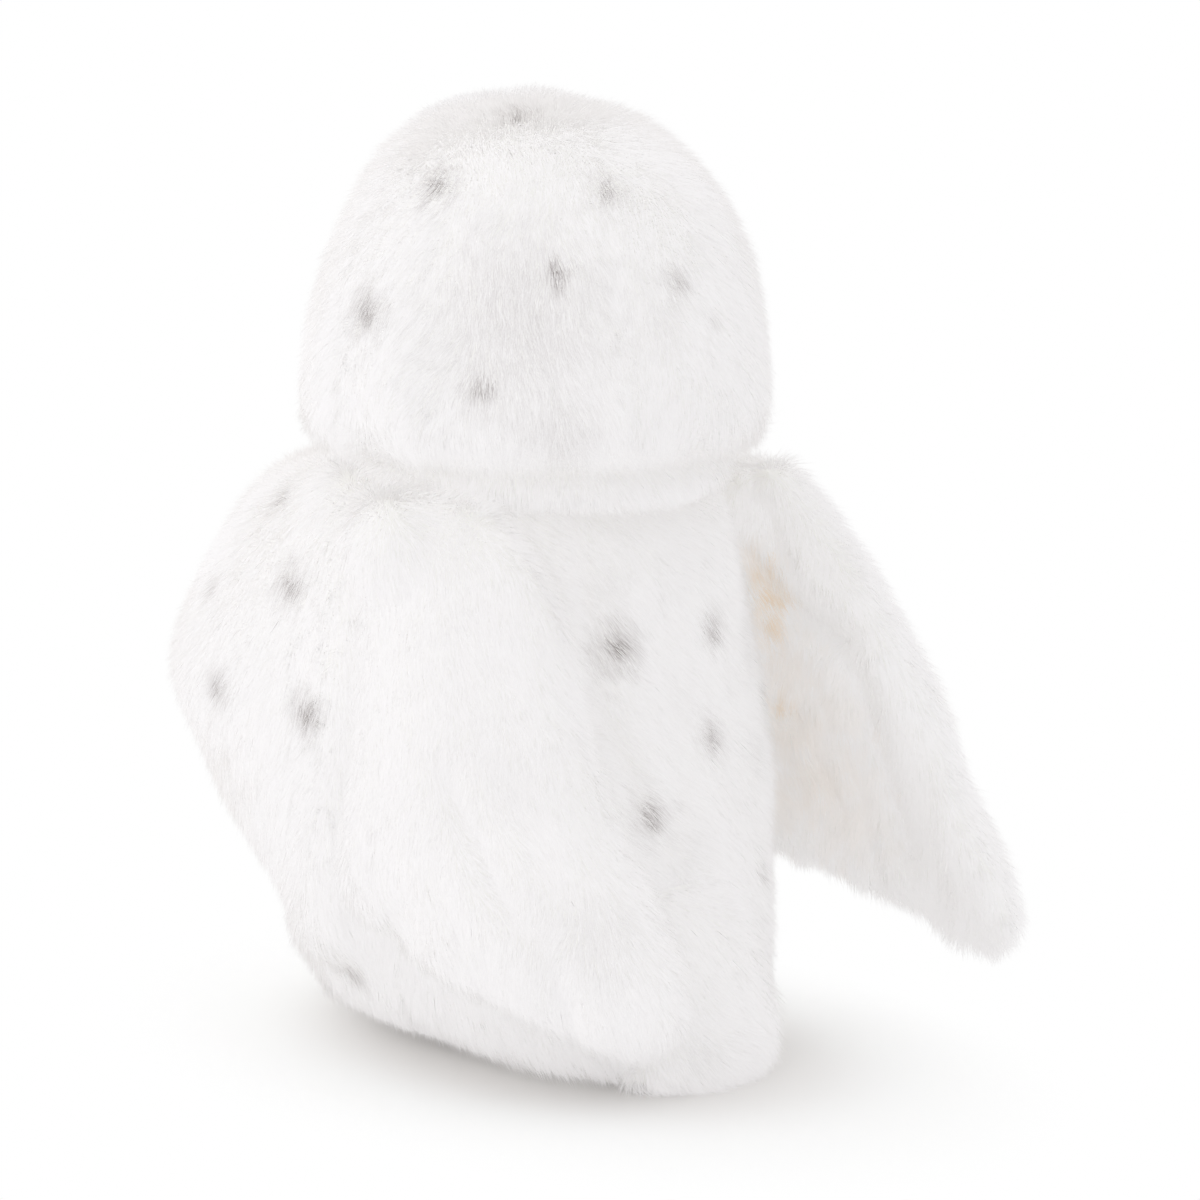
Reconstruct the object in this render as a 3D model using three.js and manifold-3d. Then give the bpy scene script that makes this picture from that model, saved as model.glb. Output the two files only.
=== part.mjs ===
// A stuffed snowy owl, sewn from long-pile fur fabric. It faces -Y, its left side is +X, and it stands on Z = 0.
// Each cover is a shell of fur fabric, as thick as its backing and its pressed pile, round its own stuffing.
// The head sits on a stuffed neck ball, so that it turns and nods. The wings are flaps sewn on along their
// front edges: the left one is folded against the body, and the right one is held open.
import * as THREE from "three";
import { mergeVertices } from "three/addons/utils/BufferGeometryUtils.js";
import Module from "manifold-3d";

const wasm = await Module();
wasm.setup();

// Driving dimensions, in millimetres.
const BODY_HEIGHT = 184; // floor to the top of the shoulders
const BODY_HALF_WIDTH = 89; // at the belly
const BODY_FRONT = 120; // reach of the breast in front of the origin
const BODY_BACK = 76; // reach of the rump behind it
const HEAD_HEIGHT = 104.5;
const HEAD_HALF_WIDTH = 69.5;
const HEAD_FRONT = 66; // reach of the face in front of the neck's axis
const HEAD_BACK = 71; // reach of the nape behind it
const NECK_RADIUS = 27;
const NECK_Y = 5; // the neck's axis lies this far behind the origin
const NECK_RISE = 4; // centre of the neck ball above the shoulders
const HEAD_GAP = 7; // shoulders to the underside of the head, which the pile fills
const WING_THICK = 14;
const TAIL_HEIGHT = 62;
const TAIL_HALF_WIDTH = 29;
const TAIL_THICK = 8;
const FACE_HALF_WIDTH = 46;
const FACE_HALF_HEIGHT = 36;
const FACE_RISE = 55; // middle of the face, above the centre of the neck ball

// Poses that the owl is left in, in degrees.
const HEAD_TURN = -38; // the head looks to the owl's right
const RIGHT_WING_OPEN = 66;

// Heights on the wing over the body's own, and two points on the left wing's seam, on which it swings:
// shares of the body's half width, of its reach behind and of its height.
const WING_TOP_SHARE = 0.957;
const WING_FRONT_END_SHARE = 0.25;
const WING_TIP_SHARE = 0.076;
const HINGE_LOW_SHARES = { side: 0.91, back: 0.237, height: 0.272 };
const HINGE_HIGH_SHARES = { side: 0.815, back: 0.263, height: 0.87 };

// Fabrics and clearances.
const FUR_WALL = 3.5; // fur fabric with its pile pressed
const LINING_WALL = 1.6; // short-pile fabric under the wings
const SLEEVE_WALL = 1.8; // fabric round the neck ball
const BASE_WALL = 2.5; // the panel that the owl stands on
const SEAM_GAP = 0.3; // between pieces that touch
const WING_CLEAR = 0.8; // between the body and a folded wing
const FLOOR_CLEAR = 1.2; // under the tail and the toes
const OVERRUN = 4; // how far a cut runs past what it cuts

// Mesh fineness.
const COLUMNS = 26;
const ROWS_PER_LEVEL = 2;
const CORE_COLUMNS = 18;
const CORE_ROWS_PER_LEVEL = 1;
const BALL_COLUMNS = 24;
const BALL_ROWS = 12;

const fur = new THREE.MeshStandardMaterial({ color: 0xf4f3f2, roughness: 0.95, metalness: 0 });
const shortFur = new THREE.MeshStandardMaterial({ color: 0xf1ede4, roughness: 0.95, metalness: 0 });
const fibre = new THREE.MeshStandardMaterial({ color: 0xfafafa, roughness: 1, metalness: 0 });
const bagCloth = new THREE.MeshStandardMaterial({ color: 0xd9d6cf, roughness: 0.9, metalness: 0 });
const baseCloth = new THREE.MeshStandardMaterial({ color: 0xe9e7e2, roughness: 0.9, metalness: 0 });
const amber = new THREE.MeshStandardMaterial({ color: 0xe3a416, roughness: 0.12, metalness: 0 });
const nylon = new THREE.MeshStandardMaterial({ color: 0xe8e6e0, roughness: 0.5, metalness: 0 });
const horn = new THREE.MeshStandardMaterial({ color: 0x1d1b1a, roughness: 0.35, metalness: 0 });

const owl = new THREE.Group();

// Solids: from a closed geometry to a manifold and back.
function solidOf(geometry) {
  const bare = new THREE.BufferGeometry();
  bare.setAttribute("position", geometry.getAttribute("position").clone());
  if (geometry.index) bare.setIndex(geometry.index.clone());
  const merged = mergeVertices(bare, 1e-4);
  return new wasm.Manifold(
    new wasm.Mesh({
      numProp: 3,
      vertProperties: new Float32Array(merged.attributes.position.array),
      triVerts: new Uint32Array(merged.index.array),
    }),
  );
}

function piece(name, solid, material, parent = owl) {
  const made = solid.getMesh();
  const geometry = new THREE.BufferGeometry();
  geometry.setAttribute("position", new THREE.BufferAttribute(made.vertProperties, made.numProp));
  geometry.setIndex(new THREE.BufferAttribute(made.triVerts, 1));
  geometry.computeVertexNormals();
  const mesh = new THREE.Mesh(geometry, material);
  mesh.name = name;
  parent.add(mesh);
}

const moved = (solid, matrix) => solid.transform(matrix.elements);

// A closed skin over rings of points, each ring fanned shut at the ends.
function skinOver(rings) {
  const count = rings[0].length;
  const points = rings.flat();
  const corners = [];
  for (let r = 0; r + 1 < rings.length; r++) {
    for (let c = 0; c < count; c++) {
      const a = r * count + c;
      const b = r * count + ((c + 1) % count);
      corners.push(a, b, a + count, b, b + count, a + count);
    }
  }
  const middle = (ring) =>
    ring.reduce((sum, point) => sum.add(point), new THREE.Vector3()).divideScalar(count);
  const first = points.push(middle(rings[0])) - 1;
  const last = points.push(middle(rings[rings.length - 1])) - 1;
  const top = (rings.length - 1) * count;
  for (let c = 0; c < count; c++) {
    const next = (c + 1) % count;
    corners.push(first, next, c);
    corners.push(last, top + c, top + next);
  }
  const geometry = new THREE.BufferGeometry().setFromPoints(points);
  geometry.setIndex(corners);
  return solidOf(geometry);
}

// A smooth blend through the rows of a table, at a place counted in rows.
function rowAt(table, place) {
  const last = table.length - 1;
  const i = Math.min(Math.floor(place), last - 1);
  const t = place - i;
  const near = [i - 1, i, i + 1, i + 2].map((k) => table[THREE.MathUtils.clamp(k, 0, last)]);
  return near[1].map((_, column) => {
    const [p, q, r, s] = near.map((row) => row[column]);
    return q + (t / 2) * (r - p + t * (2 * p - 5 * q + 4 * r - s + t * (3 * (q - r) + s - p)));
  });
}

// The row of a table whose first column reaches a value, for a first column that grows.
function rowWhere(table, value) {
  let low = 0;
  let high = table.length - 1;
  for (let i = 0; i < 30; i++) {
    const half = (low + high) / 2;
    if (rowAt(table, half)[0] < value) low = half;
    else high = half;
  }
  return rowAt(table, (low + high) / 2);
}

// A point of a rounded section: angle 0 is to the owl's left, and a quarter turn is behind it.
function sectionPoint([z, half, front, back, square], angle) {
  const round = (value) => Math.sign(value) * Math.abs(value) ** (2 / square);
  const middle = (back - front) / 2;
  const reach = (back + front) / 2;
  return new THREE.Vector3(half * round(Math.cos(angle)), middle + reach * round(Math.sin(angle)), z);
}

const ringAt = (level, columns) =>
  Array.from({ length: columns }, (_, c) => sectionPoint(level, (c / columns) * 2 * Math.PI));

function loft(levels, columns = COLUMNS, rowsPerLevel = ROWS_PER_LEVEL) {
  const steps = (levels.length - 1) * rowsPerLevel;
  return skinOver(
    Array.from({ length: steps + 1 }, (_, r) => ringAt(rowAt(levels, r / rowsPerLevel), columns)),
  );
}

const coreLoft = (levels) => loft(levels, CORE_COLUMNS, CORE_ROWS_PER_LEVEL);

// Levels from a table of shares: height, half width, front reach, back reach and squareness.
const LEAST_SHARE = 0.03;
const levelsOf = (shares, { height, half, front, back, floor }, inset) =>
  shares.map(([h, w, f, b, square]) => [
    floor + inset + h * (height - 2 * inset),
    Math.max(w * half - inset, LEAST_SHARE * half),
    Math.max(f * front - inset, LEAST_SHARE * front),
    Math.max(b * back - inset, LEAST_SHARE * back),
    square,
  ]);

const ball = (radius) => solidOf(new THREE.SphereGeometry(radius, BALL_COLUMNS, BALL_ROWS));

// Body: the cover, the stuffing, a bag of pellets low down and the panel that it stands on.
const BODY_LEVEL_SHARES = [
  [0.0, 0.38, 0.4, 1.12, 2.6],
  [0.04, 0.49, 0.5, 1.14, 2.6],
  [0.1, 0.6, 0.575, 1.12, 2.6],
  [0.2, 0.735, 0.66, 1.06, 2.45],
  [0.31, 0.86, 0.765, 0.99, 2.25],
  [0.42, 0.955, 0.885, 0.925, 2.1],
  [0.53, 0.995, 0.965, 0.86, 2.0],
  [0.64, 1.0, 1.0, 0.8, 2.0],
  [0.76, 0.94, 0.925, 0.765, 2.0],
  [0.87, 0.845, 0.84, 0.755, 2.0],
  [0.95, 0.73, 0.7, 0.67, 2.0],
  [0.985, 0.57, 0.52, 0.54, 2.0],
  [1.0, 0.3, 0.25, 0.3, 2.0],
];
const bodySize = {
  height: BODY_HEIGHT,
  half: BODY_HALF_WIDTH,
  front: BODY_FRONT,
  back: BODY_BACK,
  floor: 0,
};
const bodyLevels = (inset) => levelsOf(BODY_LEVEL_SHARES, bodySize, inset);

const neckCentre = new THREE.Vector3(0, NECK_Y, BODY_HEIGHT + NECK_RISE);
const atNeck = (solid) => solid.translate(neckCentre.x, neckCentre.y, neckCentre.z);

// The wings' hinge lines, from low to high.
function hingeOf(side) {
  const [low, high] = [HINGE_LOW_SHARES, HINGE_HIGH_SHARES].map(
    (share) =>
      new THREE.Vector3(
        side * share.side * BODY_HALF_WIDTH,
        share.back * BODY_BACK,
        share.height * BODY_HEIGHT,
      ),
  );
  return { low, high, along: high.clone().sub(low).normalize() };
}

const ROOT_RADIUS = 6; // the rolled seam on which a wing swings
const ROOT_COLUMNS = 12;

function rootRoll(side, grow) {
  const { low, high, along } = hingeOf(side);
  const length = high.distanceTo(low) + 2 * grow;
  const radius = ROOT_RADIUS + grow;
  const roll = new THREE.CylinderGeometry(radius, radius, length, ROOT_COLUMNS);
  roll.applyQuaternion(new THREE.Quaternion().setFromUnitVectors(new THREE.Vector3(0, 1, 0), along));
  const middle = low.clone().add(high).divideScalar(2);
  return solidOf(roll.translate(middle.x, middle.y, middle.z));
}

const basePrism = (inset, from, to) => {
  const [, half, front, back, square] = bodyLevels(0)[0];
  const level = (z) => [z, half - inset, front - inset, back - inset, square];
  return skinOver([ringAt(level(from), COLUMNS), ringAt(level(to), COLUMNS)]);
};

function bodyCore(inset) {
  return coreLoft(bodyLevels(inset))
    .subtract(rootRoll(1, SEAM_GAP + inset))
    .subtract(rootRoll(-1, SEAM_GAP + inset));
}

// The hollow that the neck ball turns in, wide enough for the flats of both to pass.
const socketBall = () => ball((NECK_RADIUS + SEAM_GAP) / Math.cos(Math.PI / BALL_COLUMNS) ** 2);
const neckSocket = atNeck(socketBall());

const BAG_HALF_WIDTH = 37;
const BAG_FRONT = 42;
const BAG_BACK = 50;
const BAG_HEIGHT = 26;
const BAG_LEVEL_SHARES = [
  [0.0, 0.72, 0.72, 0.72, 2.4],
  [0.2, 0.94, 0.94, 0.94, 2.4],
  [0.5, 1.0, 1.0, 1.0, 2.4],
  [0.82, 0.84, 0.84, 0.84, 2.4],
  [1.0, 0.5, 0.5, 0.5, 2.4],
];
const bagSize = {
  height: BAG_HEIGHT,
  half: BAG_HALF_WIDTH,
  front: BAG_FRONT,
  back: BAG_BACK,
  floor: BASE_WALL + SEAM_GAP,
};
const pelletBag = (grow) => coreLoft(levelsOf(BAG_LEVEL_SHARES, bagSize, -grow));

function addBody() {
  const cover = loft(bodyLevels(0))
    .subtract(rootRoll(1, SEAM_GAP))
    .subtract(rootRoll(-1, SEAM_GAP))
    .subtract(bodyCore(FUR_WALL))
    .subtract(basePrism(FUR_WALL, -OVERRUN, FUR_WALL + OVERRUN))
    .subtract(neckSocket);
  const stuffing = bodyCore(FUR_WALL + SEAM_GAP).subtract(pelletBag(SEAM_GAP)).subtract(neckSocket);
  piece("body_cover", cover, fur);
  piece("body_stuffing", stuffing, fibre);
  piece("pellet_bag", pelletBag(0), bagCloth);
  piece("base_panel", basePrism(FUR_WALL + SEAM_GAP, 0, BASE_WALL), baseCloth);
}

// Neck: a stuffed ball in a sleeve of fabric.
const SLEEVE_HALF_HEIGHT = 15;

function addNeck() {
  const radius = NECK_RADIUS + OVERRUN;
  const band = new THREE.CylinderGeometry(radius, radius, 2 * SLEEVE_HALF_HEIGHT, BALL_COLUMNS);
  const sleeve = ball(NECK_RADIUS)
    .intersect(solidOf(band.rotateX(Math.PI / 2)))
    .subtract(ball(NECK_RADIUS - SLEEVE_WALL));
  piece("neck_sleeve", atNeck(sleeve), shortFur);
  piece("neck_stuffing", atNeck(ball(NECK_RADIUS - SLEEVE_WALL - SEAM_GAP)), fibre);
}

// Head, about the centre of the neck ball.
const HEAD_LEVEL_SHARES = [
  [0.02, 0.38, 0.38, 0.38, 2.0],
  [0.0, 0.64, 0.62, 0.66, 2.0],
  [0.014, 0.84, 0.82, 0.87, 2.0],
  [0.056, 0.955, 0.95, 0.97, 2.0],
  [0.14, 1.0, 1.0, 1.0, 2.05],
  [0.27, 0.985, 1.02, 0.985, 2.1],
  [0.42, 0.94, 1.0, 0.945, 2.1],
  [0.57, 0.88, 0.93, 0.885, 2.1],
  [0.71, 0.785, 0.825, 0.8, 2.05],
  [0.84, 0.65, 0.685, 0.665, 2.0],
  [0.93, 0.49, 0.51, 0.5, 2.0],
  [0.985, 0.28, 0.29, 0.29, 2.0],
  [1.0, 0.07, 0.07, 0.07, 2.0],
];
const headSize = {
  height: HEAD_HEIGHT,
  half: HEAD_HALF_WIDTH,
  front: HEAD_FRONT,
  back: HEAD_BACK,
  floor: HEAD_GAP - NECK_RISE,
};
const headLevels = (inset) => levelsOf(HEAD_LEVEL_SHARES, headSize, inset);

// How far the face lies in front of the neck's axis, at a place to the side and a height.
function faceReach(x, z) {
  const [, half, front, back, square] = rowWhere(headLevels(0).slice(1), z);
  const share = Math.max(1 - Math.abs(x / half) ** square, 0) ** (1 / square);
  return (front - back) / 2 + ((front + back) / 2) * share;
}

// The outline of the face panel, cut right through the front of the head: a dip at the brow and a narrow chin.
const BROW_DIP_SHARE = 0.24;
const BROW_SHARES = { side: 0.33, rise: 1.1 };
const CHEEK_SHARE = 0.2;
const JAW_SHARE = 0.62;
const CHIN_SHARE = 0.5;

function faceCutter(grow) {
  const wide = FACE_HALF_WIDTH + grow;
  const high = FACE_HALF_HEIGHT + grow;
  const dip = high * (1 - BROW_DIP_SHARE);
  const brow = { x: wide * BROW_SHARES.side, y: high * BROW_SHARES.rise };
  const cheek = high * CHEEK_SHARE;
  const jaw = -high * JAW_SHARE;
  const chin = wide * CHIN_SHARE;
  const outline = new THREE.Shape();
  outline.moveTo(0, dip);
  outline.bezierCurveTo(brow.x, brow.y, wide, high, wide, cheek);
  outline.bezierCurveTo(wide, jaw, chin, -high, 0, -high);
  outline.bezierCurveTo(-chin, -high, -wide, jaw, -wide, cheek);
  outline.bezierCurveTo(-wide, high, -brow.x, brow.y, 0, dip);
  const depth = HEAD_FRONT + OVERRUN;
  const slab = new THREE.ExtrudeGeometry(outline, { depth, bevelEnabled: false, curveSegments: 7 });
  return solidOf(slab.rotateX(Math.PI / 2).translate(0, 0, FACE_RISE));
}

// Eyes: a domed plastic eye whose shank passes through the face and is locked by a washer.
const EYE_SPREAD = 21; // each eye's distance from the middle
const EYE_RISE = 60; // above the centre of the neck ball
const EYE_YAW = 20; // degrees that each eye looks outwards
const EYE_PITCH = 8; // and upwards
const EYE_RADIUS = 9;
const EYE_DOME = 5.5;
const EYE_RIM = 1.4;
const EYE_SINK = 1; // the eye is drawn this deep into the face
const EYE_COLUMNS = 20;
const DOME_RINGS = 6;
const SHANK_RADIUS = 2.2;
const SHANK_LENGTH = 12;
const WASHER_RADIUS = 8;
const WASHER_WALL = 1.8;
const PINCH = 2; // from the back of the eye to the washer, with the face panel pressed between

// A solid turned about the Y axis, from a profile of radius and depth, whose depth grows inwards.
function turned(profile, columns = EYE_COLUMNS) {
  const points = profile.map(([radius, depth]) => new THREE.Vector2(radius, -depth));
  const lathe = new THREE.LatheGeometry(points, columns);
  return solidOf(lathe.rotateX(Math.PI));
}

const plug = (radius, from, to) =>
  turned([
    [0, to],
    [radius, to],
    [radius, from],
    [0, from],
  ]);

function eyeSolid() {
  const dome = Array.from({ length: DOME_RINGS }, (_, i) => {
    const lean = (i / DOME_RINGS) * (Math.PI / 2);
    return [EYE_RADIUS * Math.cos(lean), -EYE_RIM - EYE_DOME * Math.sin(lean)];
  });
  return turned([
    [0, SHANK_LENGTH],
    [SHANK_RADIUS / 2, SHANK_LENGTH],
    [SHANK_RADIUS, SHANK_LENGTH - SHANK_RADIUS],
    [SHANK_RADIUS, 0],
    [EYE_RADIUS, 0],
    ...dome,
    [0, -EYE_RIM - EYE_DOME],
  ]);
}

function atEye(solid, side) {
  const turn = new THREE.Euler(
    THREE.MathUtils.degToRad(-EYE_PITCH),
    0,
    THREE.MathUtils.degToRad(side * EYE_YAW),
    "ZXY",
  );
  const place = new THREE.Matrix4().makeRotationFromEuler(turn);
  place.setPosition(side * EYE_SPREAD, EYE_SINK - faceReach(EYE_SPREAD, EYE_RISE), EYE_RISE);
  return moved(solid, place);
}

// What an eye and its washer take out of the face panel and the stuffing behind it.
function eyeRoom(side) {
  const seat = plug(EYE_RADIUS + SEAM_GAP, -EYE_RADIUS, SEAM_GAP);
  const shank = plug(SHANK_RADIUS + SEAM_GAP, 0, SHANK_LENGTH + SEAM_GAP);
  const washer = plug(WASHER_RADIUS + SEAM_GAP, PINCH - SEAM_GAP, PINCH + WASHER_WALL + OVERRUN);
  return atEye(seat.add(shank).add(washer), side);
}

const washerSolid = () =>
  plug(WASHER_RADIUS, PINCH, PINCH + WASHER_WALL).subtract(
    plug(SHANK_RADIUS + SEAM_GAP, 0, SHANK_LENGTH),
  );

// Beak: a short hook, its root sunk in the face panel.
const BEAK_RISE = 46; // root of the beak, above the centre of the neck ball
const BEAK_LENGTH = 14;
const BEAK_RADIUS = 6.5;
const BEAK_DROP = 11; // how far the tip hooks down
const BEAK_SINK = 2;
const BEAK_RINGS = 8;
const BEAK_COLUMNS = 14;
const BEAK_FLAT_SHARE = 0.75; // width over height
const BEAK_TIP_SHARE = 0.12; // the tip's radius over the root's
const BEAK_TURN = 60; // degrees that its sections turn down from root to tip

function beakSolid(grow) {
  const seat = faceReach(0, BEAK_RISE) - BEAK_SINK - grow;
  const ring = (_, i) => {
    const t = i / BEAK_RINGS;
    const radius = grow + BEAK_RADIUS * Math.sqrt(1 - t * (1 - BEAK_TIP_SHARE ** 2));
    const lean = THREE.MathUtils.degToRad(t * BEAK_TURN);
    const centre = new THREE.Vector3(
      0,
      -seat - (BEAK_LENGTH + grow) * Math.sin((t * Math.PI) / 2),
      BEAK_RISE - BEAK_DROP * t * t,
    );
    return Array.from({ length: BEAK_COLUMNS }, (_, c) => {
      const angle = (c / BEAK_COLUMNS) * 2 * Math.PI;
      return new THREE.Vector3(
        BEAK_FLAT_SHARE * radius * Math.cos(angle),
        -radius * Math.sin(angle) * Math.sin(lean),
        radius * Math.sin(angle) * Math.cos(lean),
      ).add(centre);
    });
  };
  return skinOver(Array.from({ length: BEAK_RINGS + 1 }, ring));
}

function addHead() {
  const head = new THREE.Group();
  head.position.copy(neckCentre);
  head.rotation.z = THREE.MathUtils.degToRad(HEAD_TURN);
  owl.add(head);

  const socket = socketBall();
  const shell = loft(headLevels(0))
    .subtract(coreLoft(headLevels(FUR_WALL)))
    .subtract(socket);
  const rooms = eyeRoom(1).add(eyeRoom(-1));
  const panel = shell.intersect(faceCutter(0)).subtract(rooms).subtract(beakSolid(SEAM_GAP));
  const stuffing = coreLoft(headLevels(FUR_WALL + SEAM_GAP))
    .subtract(socket)
    .subtract(rooms)
    .subtract(beakSolid(SEAM_GAP));
  piece("head_cover", shell.subtract(faceCutter(SEAM_GAP)), fur, head);
  piece("head_stuffing", stuffing, fibre, head);
  piece("face_panel", panel, fur, head);
  piece("beak", beakSolid(0), horn, head);
  for (const [name, side] of [
    ["left", 1],
    ["right", -1],
  ]) {
    piece(`${name}_eye`, atEye(eyeSolid(), side), amber, head);
    piece(`${name}_eye_washer`, atEye(washerSolid(), side), nylon, head);
  }
}

// What the wings fold against: the body, and low down behind it the tail.
const TAIL_LEVEL_SHARES = [1, 1, 1, 0.8, 0.35, 0, 0, 0, 0, 0, 0, 0, 0];
const wrapLevels = (inset) =>
  bodyLevels(inset).map(([z, half, front, back, square], i) => [
    z,
    half,
    front,
    back + TAIL_LEVEL_SHARES[i] * TAIL_THICK,
    square,
  ]);
const wrapTable = wrapLevels(0);

// Tail: a stuffed wedge sewn to the rump, wider at its end.
const TAIL_ROOT_SHARE = 0.62; // the width at its root over that at its end

function tailPrism(inset) {
  const end = TAIL_HALF_WIDTH - inset;
  const root = TAIL_HALF_WIDTH * TAIL_ROOT_SHARE - inset;
  const low = FLOOR_CLEAR + inset;
  const high = TAIL_HEIGHT - inset;
  const outline = new THREE.Shape();
  outline.moveTo(-end, low);
  outline.lineTo(end, low);
  outline.quadraticCurveTo((end + root) / 2, high / 2, root, high);
  outline.lineTo(-root, high);
  outline.quadraticCurveTo(-(end + root) / 2, high / 2, -end, low);
  const depth = Math.max(...wrapTable.map(([, , , back]) => back)) + OVERRUN;
  const slab = new THREE.ExtrudeGeometry(outline, { depth, bevelEnabled: false, curveSegments: 4 });
  return solidOf(slab.rotateX(Math.PI / 2).translate(0, depth, 0));
}

function addTail() {
  const rump = loft(bodyLevels(-SEAM_GAP));
  const outer = loft(wrapLevels(0)).intersect(tailPrism(0)).subtract(rump);
  const hollow = loft(wrapLevels(FUR_WALL)).intersect(tailPrism(FUR_WALL));
  const core = loft(wrapLevels(FUR_WALL + SEAM_GAP))
    .intersect(tailPrism(FUR_WALL + SEAM_GAP))
    .subtract(rump);
  piece("tail_cover", outer.subtract(hollow), fur);
  piece("tail_stuffing", core, fibre);
}

// Wings: a leaf that wraps the body, as heights and angles from the owl's side towards its back.
// Each row of the leaf's back edge: how far down the wing, its angle in degrees and its height.
const BACK_EDGE_SHARES = [
  [0.0, 46, 1.0],
  [0.08, 56, 0.93],
  [0.17, 65, 0.84],
  [0.3, 69.5, 0.73],
  [0.43, 71, 0.61],
  [0.55, 72.5, 0.5],
  [0.67, 75, 0.375],
  [0.79, 77.5, 0.24],
  [0.89, 78.5, 0.13],
  [0.955, 76, 0.05],
  [0.985, 70, 0.015],
  [1.0, 62, 0.0],
];
const FRONT_EDGE_SHARES = [
  [0.0, 28],
  [0.15, 29],
  [0.45, 33],
  [0.75, 25],
  [1.0, 16],
];
const SPAN_SHARES = [0, 0.06, 0.073, 0.2, 0.36, 0.54, 0.7, 0.82, 0.92, 0.933, 1];
const DROP_SHARES = [0, 0.03, 0.036, 0.12, 0.22, 0.33, 0.44, 0.55, 0.66, 0.77, 0.87, 0.955, 0.961, 1];
const ROOT_THICK_SHARE = 0.42; // thickness at the front seam over the full thickness
const FRONT_SWELL_SHARE = 0.3; // share of the span in which it grows from there
const BACK_ROUND_SHARE = 0.2;
const TOP_ROUND_SHARE = 0.1;
const TIP_ROUND_SHARE = 0.12;

function leafPlace(span, drop) {
  const [, backAngle, backRise] = rowWhere(BACK_EDGE_SHARES, drop);
  const [, frontAngle] = rowWhere(FRONT_EDGE_SHARES, drop);
  const sag = Math.sin((span * Math.PI) / 2); // rows drop steeply from the front seam, then level off
  const frontShare = THREE.MathUtils.lerp(WING_TOP_SHARE, WING_FRONT_END_SHARE, drop);
  const backShare = THREE.MathUtils.lerp(WING_TIP_SHARE, WING_TOP_SHARE, backRise);
  return {
    angle: THREE.MathUtils.degToRad(THREE.MathUtils.lerp(frontAngle, backAngle, span)),
    z: BODY_HEIGHT * THREE.MathUtils.lerp(frontShare, backShare, sag),
  };
}

function leafThickness(span, drop) {
  const rounded = (share) => Math.sqrt(1 - (1 - Math.min(share, 1)) ** 2);
  const swell = THREE.MathUtils.smoothstep(span, 0, FRONT_SWELL_SHARE);
  return (
    WING_THICK *
    Math.min(
      THREE.MathUtils.lerp(ROOT_THICK_SHARE, 1, swell),
      rounded((1 - span) / BACK_ROUND_SHARE),
      rounded(drop / TOP_ROUND_SHARE),
      rounded((1 - drop) / TIP_ROUND_SHARE),
    )
  );
}

// A point that lies a given distance off what the wing wraps.
function offWrap({ angle, z }, distance) {
  const at = (a, height) => sectionPoint(rowWhere(wrapTable, height), a);
  const here = at(angle, z);
  const step = WING_CLEAR;
  const along = at(angle + step / BODY_HALF_WIDTH, z).sub(here);
  const up = at(angle, z + step).sub(here);
  return along.cross(up).normalize().multiplyScalar(distance).add(here);
}

// A slab of the leaf between two distances off the body. The margin counts grid lines left out all round.
function leafSlab(near, far, margin) {
  const spans = SPAN_SHARES.slice(margin, SPAN_SHARES.length - margin);
  const drops = DROP_SHARES.slice(margin, DROP_SHARES.length - margin);
  const columns = spans.length;
  const sheet = (distance) =>
    drops.flatMap((drop) =>
      spans.map((span) => offWrap(leafPlace(span, drop), distance(leafThickness(span, drop)))),
    );
  const points = [...sheet(near), ...sheet(far)];
  const over = points.length / 2;
  const corners = [];
  const quad = (a, b, c, d) => corners.push(a, b, c, a, c, d);
  for (let j = 0; j + 1 < drops.length; j++) {
    for (let i = 0; i + 1 < columns; i++) {
      const a = j * columns + i;
      quad(a, a + 1, a + columns + 1, a + columns);
      quad(over + a, over + a + columns, over + a + columns + 1, over + a + 1);
    }
  }
  const rim = [];
  for (let i = 0; i + 1 < columns; i++) rim.push(i);
  for (let j = 0; j + 1 < drops.length; j++) rim.push(j * columns + columns - 1);
  for (let i = columns - 1; i > 0; i--) rim.push((drops.length - 1) * columns + i);
  for (let j = drops.length - 1; j > 0; j--) rim.push(j * columns);
  rim.forEach((a, k) => {
    const b = rim[(k + 1) % rim.length];
    quad(a, over + a, over + b, b);
  });
  const geometry = new THREE.BufferGeometry().setFromPoints(points);
  geometry.setIndex(corners);
  return solidOf(geometry);
}

const RIM_WALL = 1; // least thickness of the leaf at its edges

function wingSolids() {
  const skin = (thick) => WING_CLEAR + Math.max(thick, RIM_WALL);
  const near = () => WING_CLEAR;
  const root = rootRoll(1, 0);
  const rootRoom = rootRoll(1, SEAM_GAP);
  const hollow = leafSlab(
    () => -OVERRUN,
    (thick) => skin(thick) - FUR_WALL,
    1,
  );
  const liningTop = WING_CLEAR + LINING_WALL;
  return {
    cover: leafSlab(near, skin, 0).subtract(hollow).add(root),
    lining: leafSlab(near, () => liningTop, 2).subtract(rootRoom),
    stuffing: leafSlab(
      () => liningTop + SEAM_GAP,
      (thick) => skin(thick) - FUR_WALL - SEAM_GAP,
      2,
    ).subtract(rootRoom),
  };
}

function addWings() {
  const solids = wingSolids();
  const left = new THREE.Group();
  const right = new THREE.Group();
  const { low, along } = hingeOf(-1);
  const swing = THREE.MathUtils.degToRad(RIGHT_WING_OPEN);
  right.quaternion.setFromAxisAngle(along, swing);
  right.position.copy(low).sub(low.clone().applyQuaternion(right.quaternion));
  owl.add(left, right);
  const mirror = new THREE.Matrix4().makeScale(-1, 1, 1);
  for (const [name, group, place] of [
    ["left", left, (solid) => solid],
    ["right", right, (solid) => moved(solid, mirror)],
  ]) {
    piece(`${name}_wing_cover`, place(solids.cover), fur, group);
    piece(`${name}_wing_lining`, place(solids.lining), shortFur, group);
    piece(`${name}_wing_stuffing`, place(solids.stuffing), fibre, group);
  }
}

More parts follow.
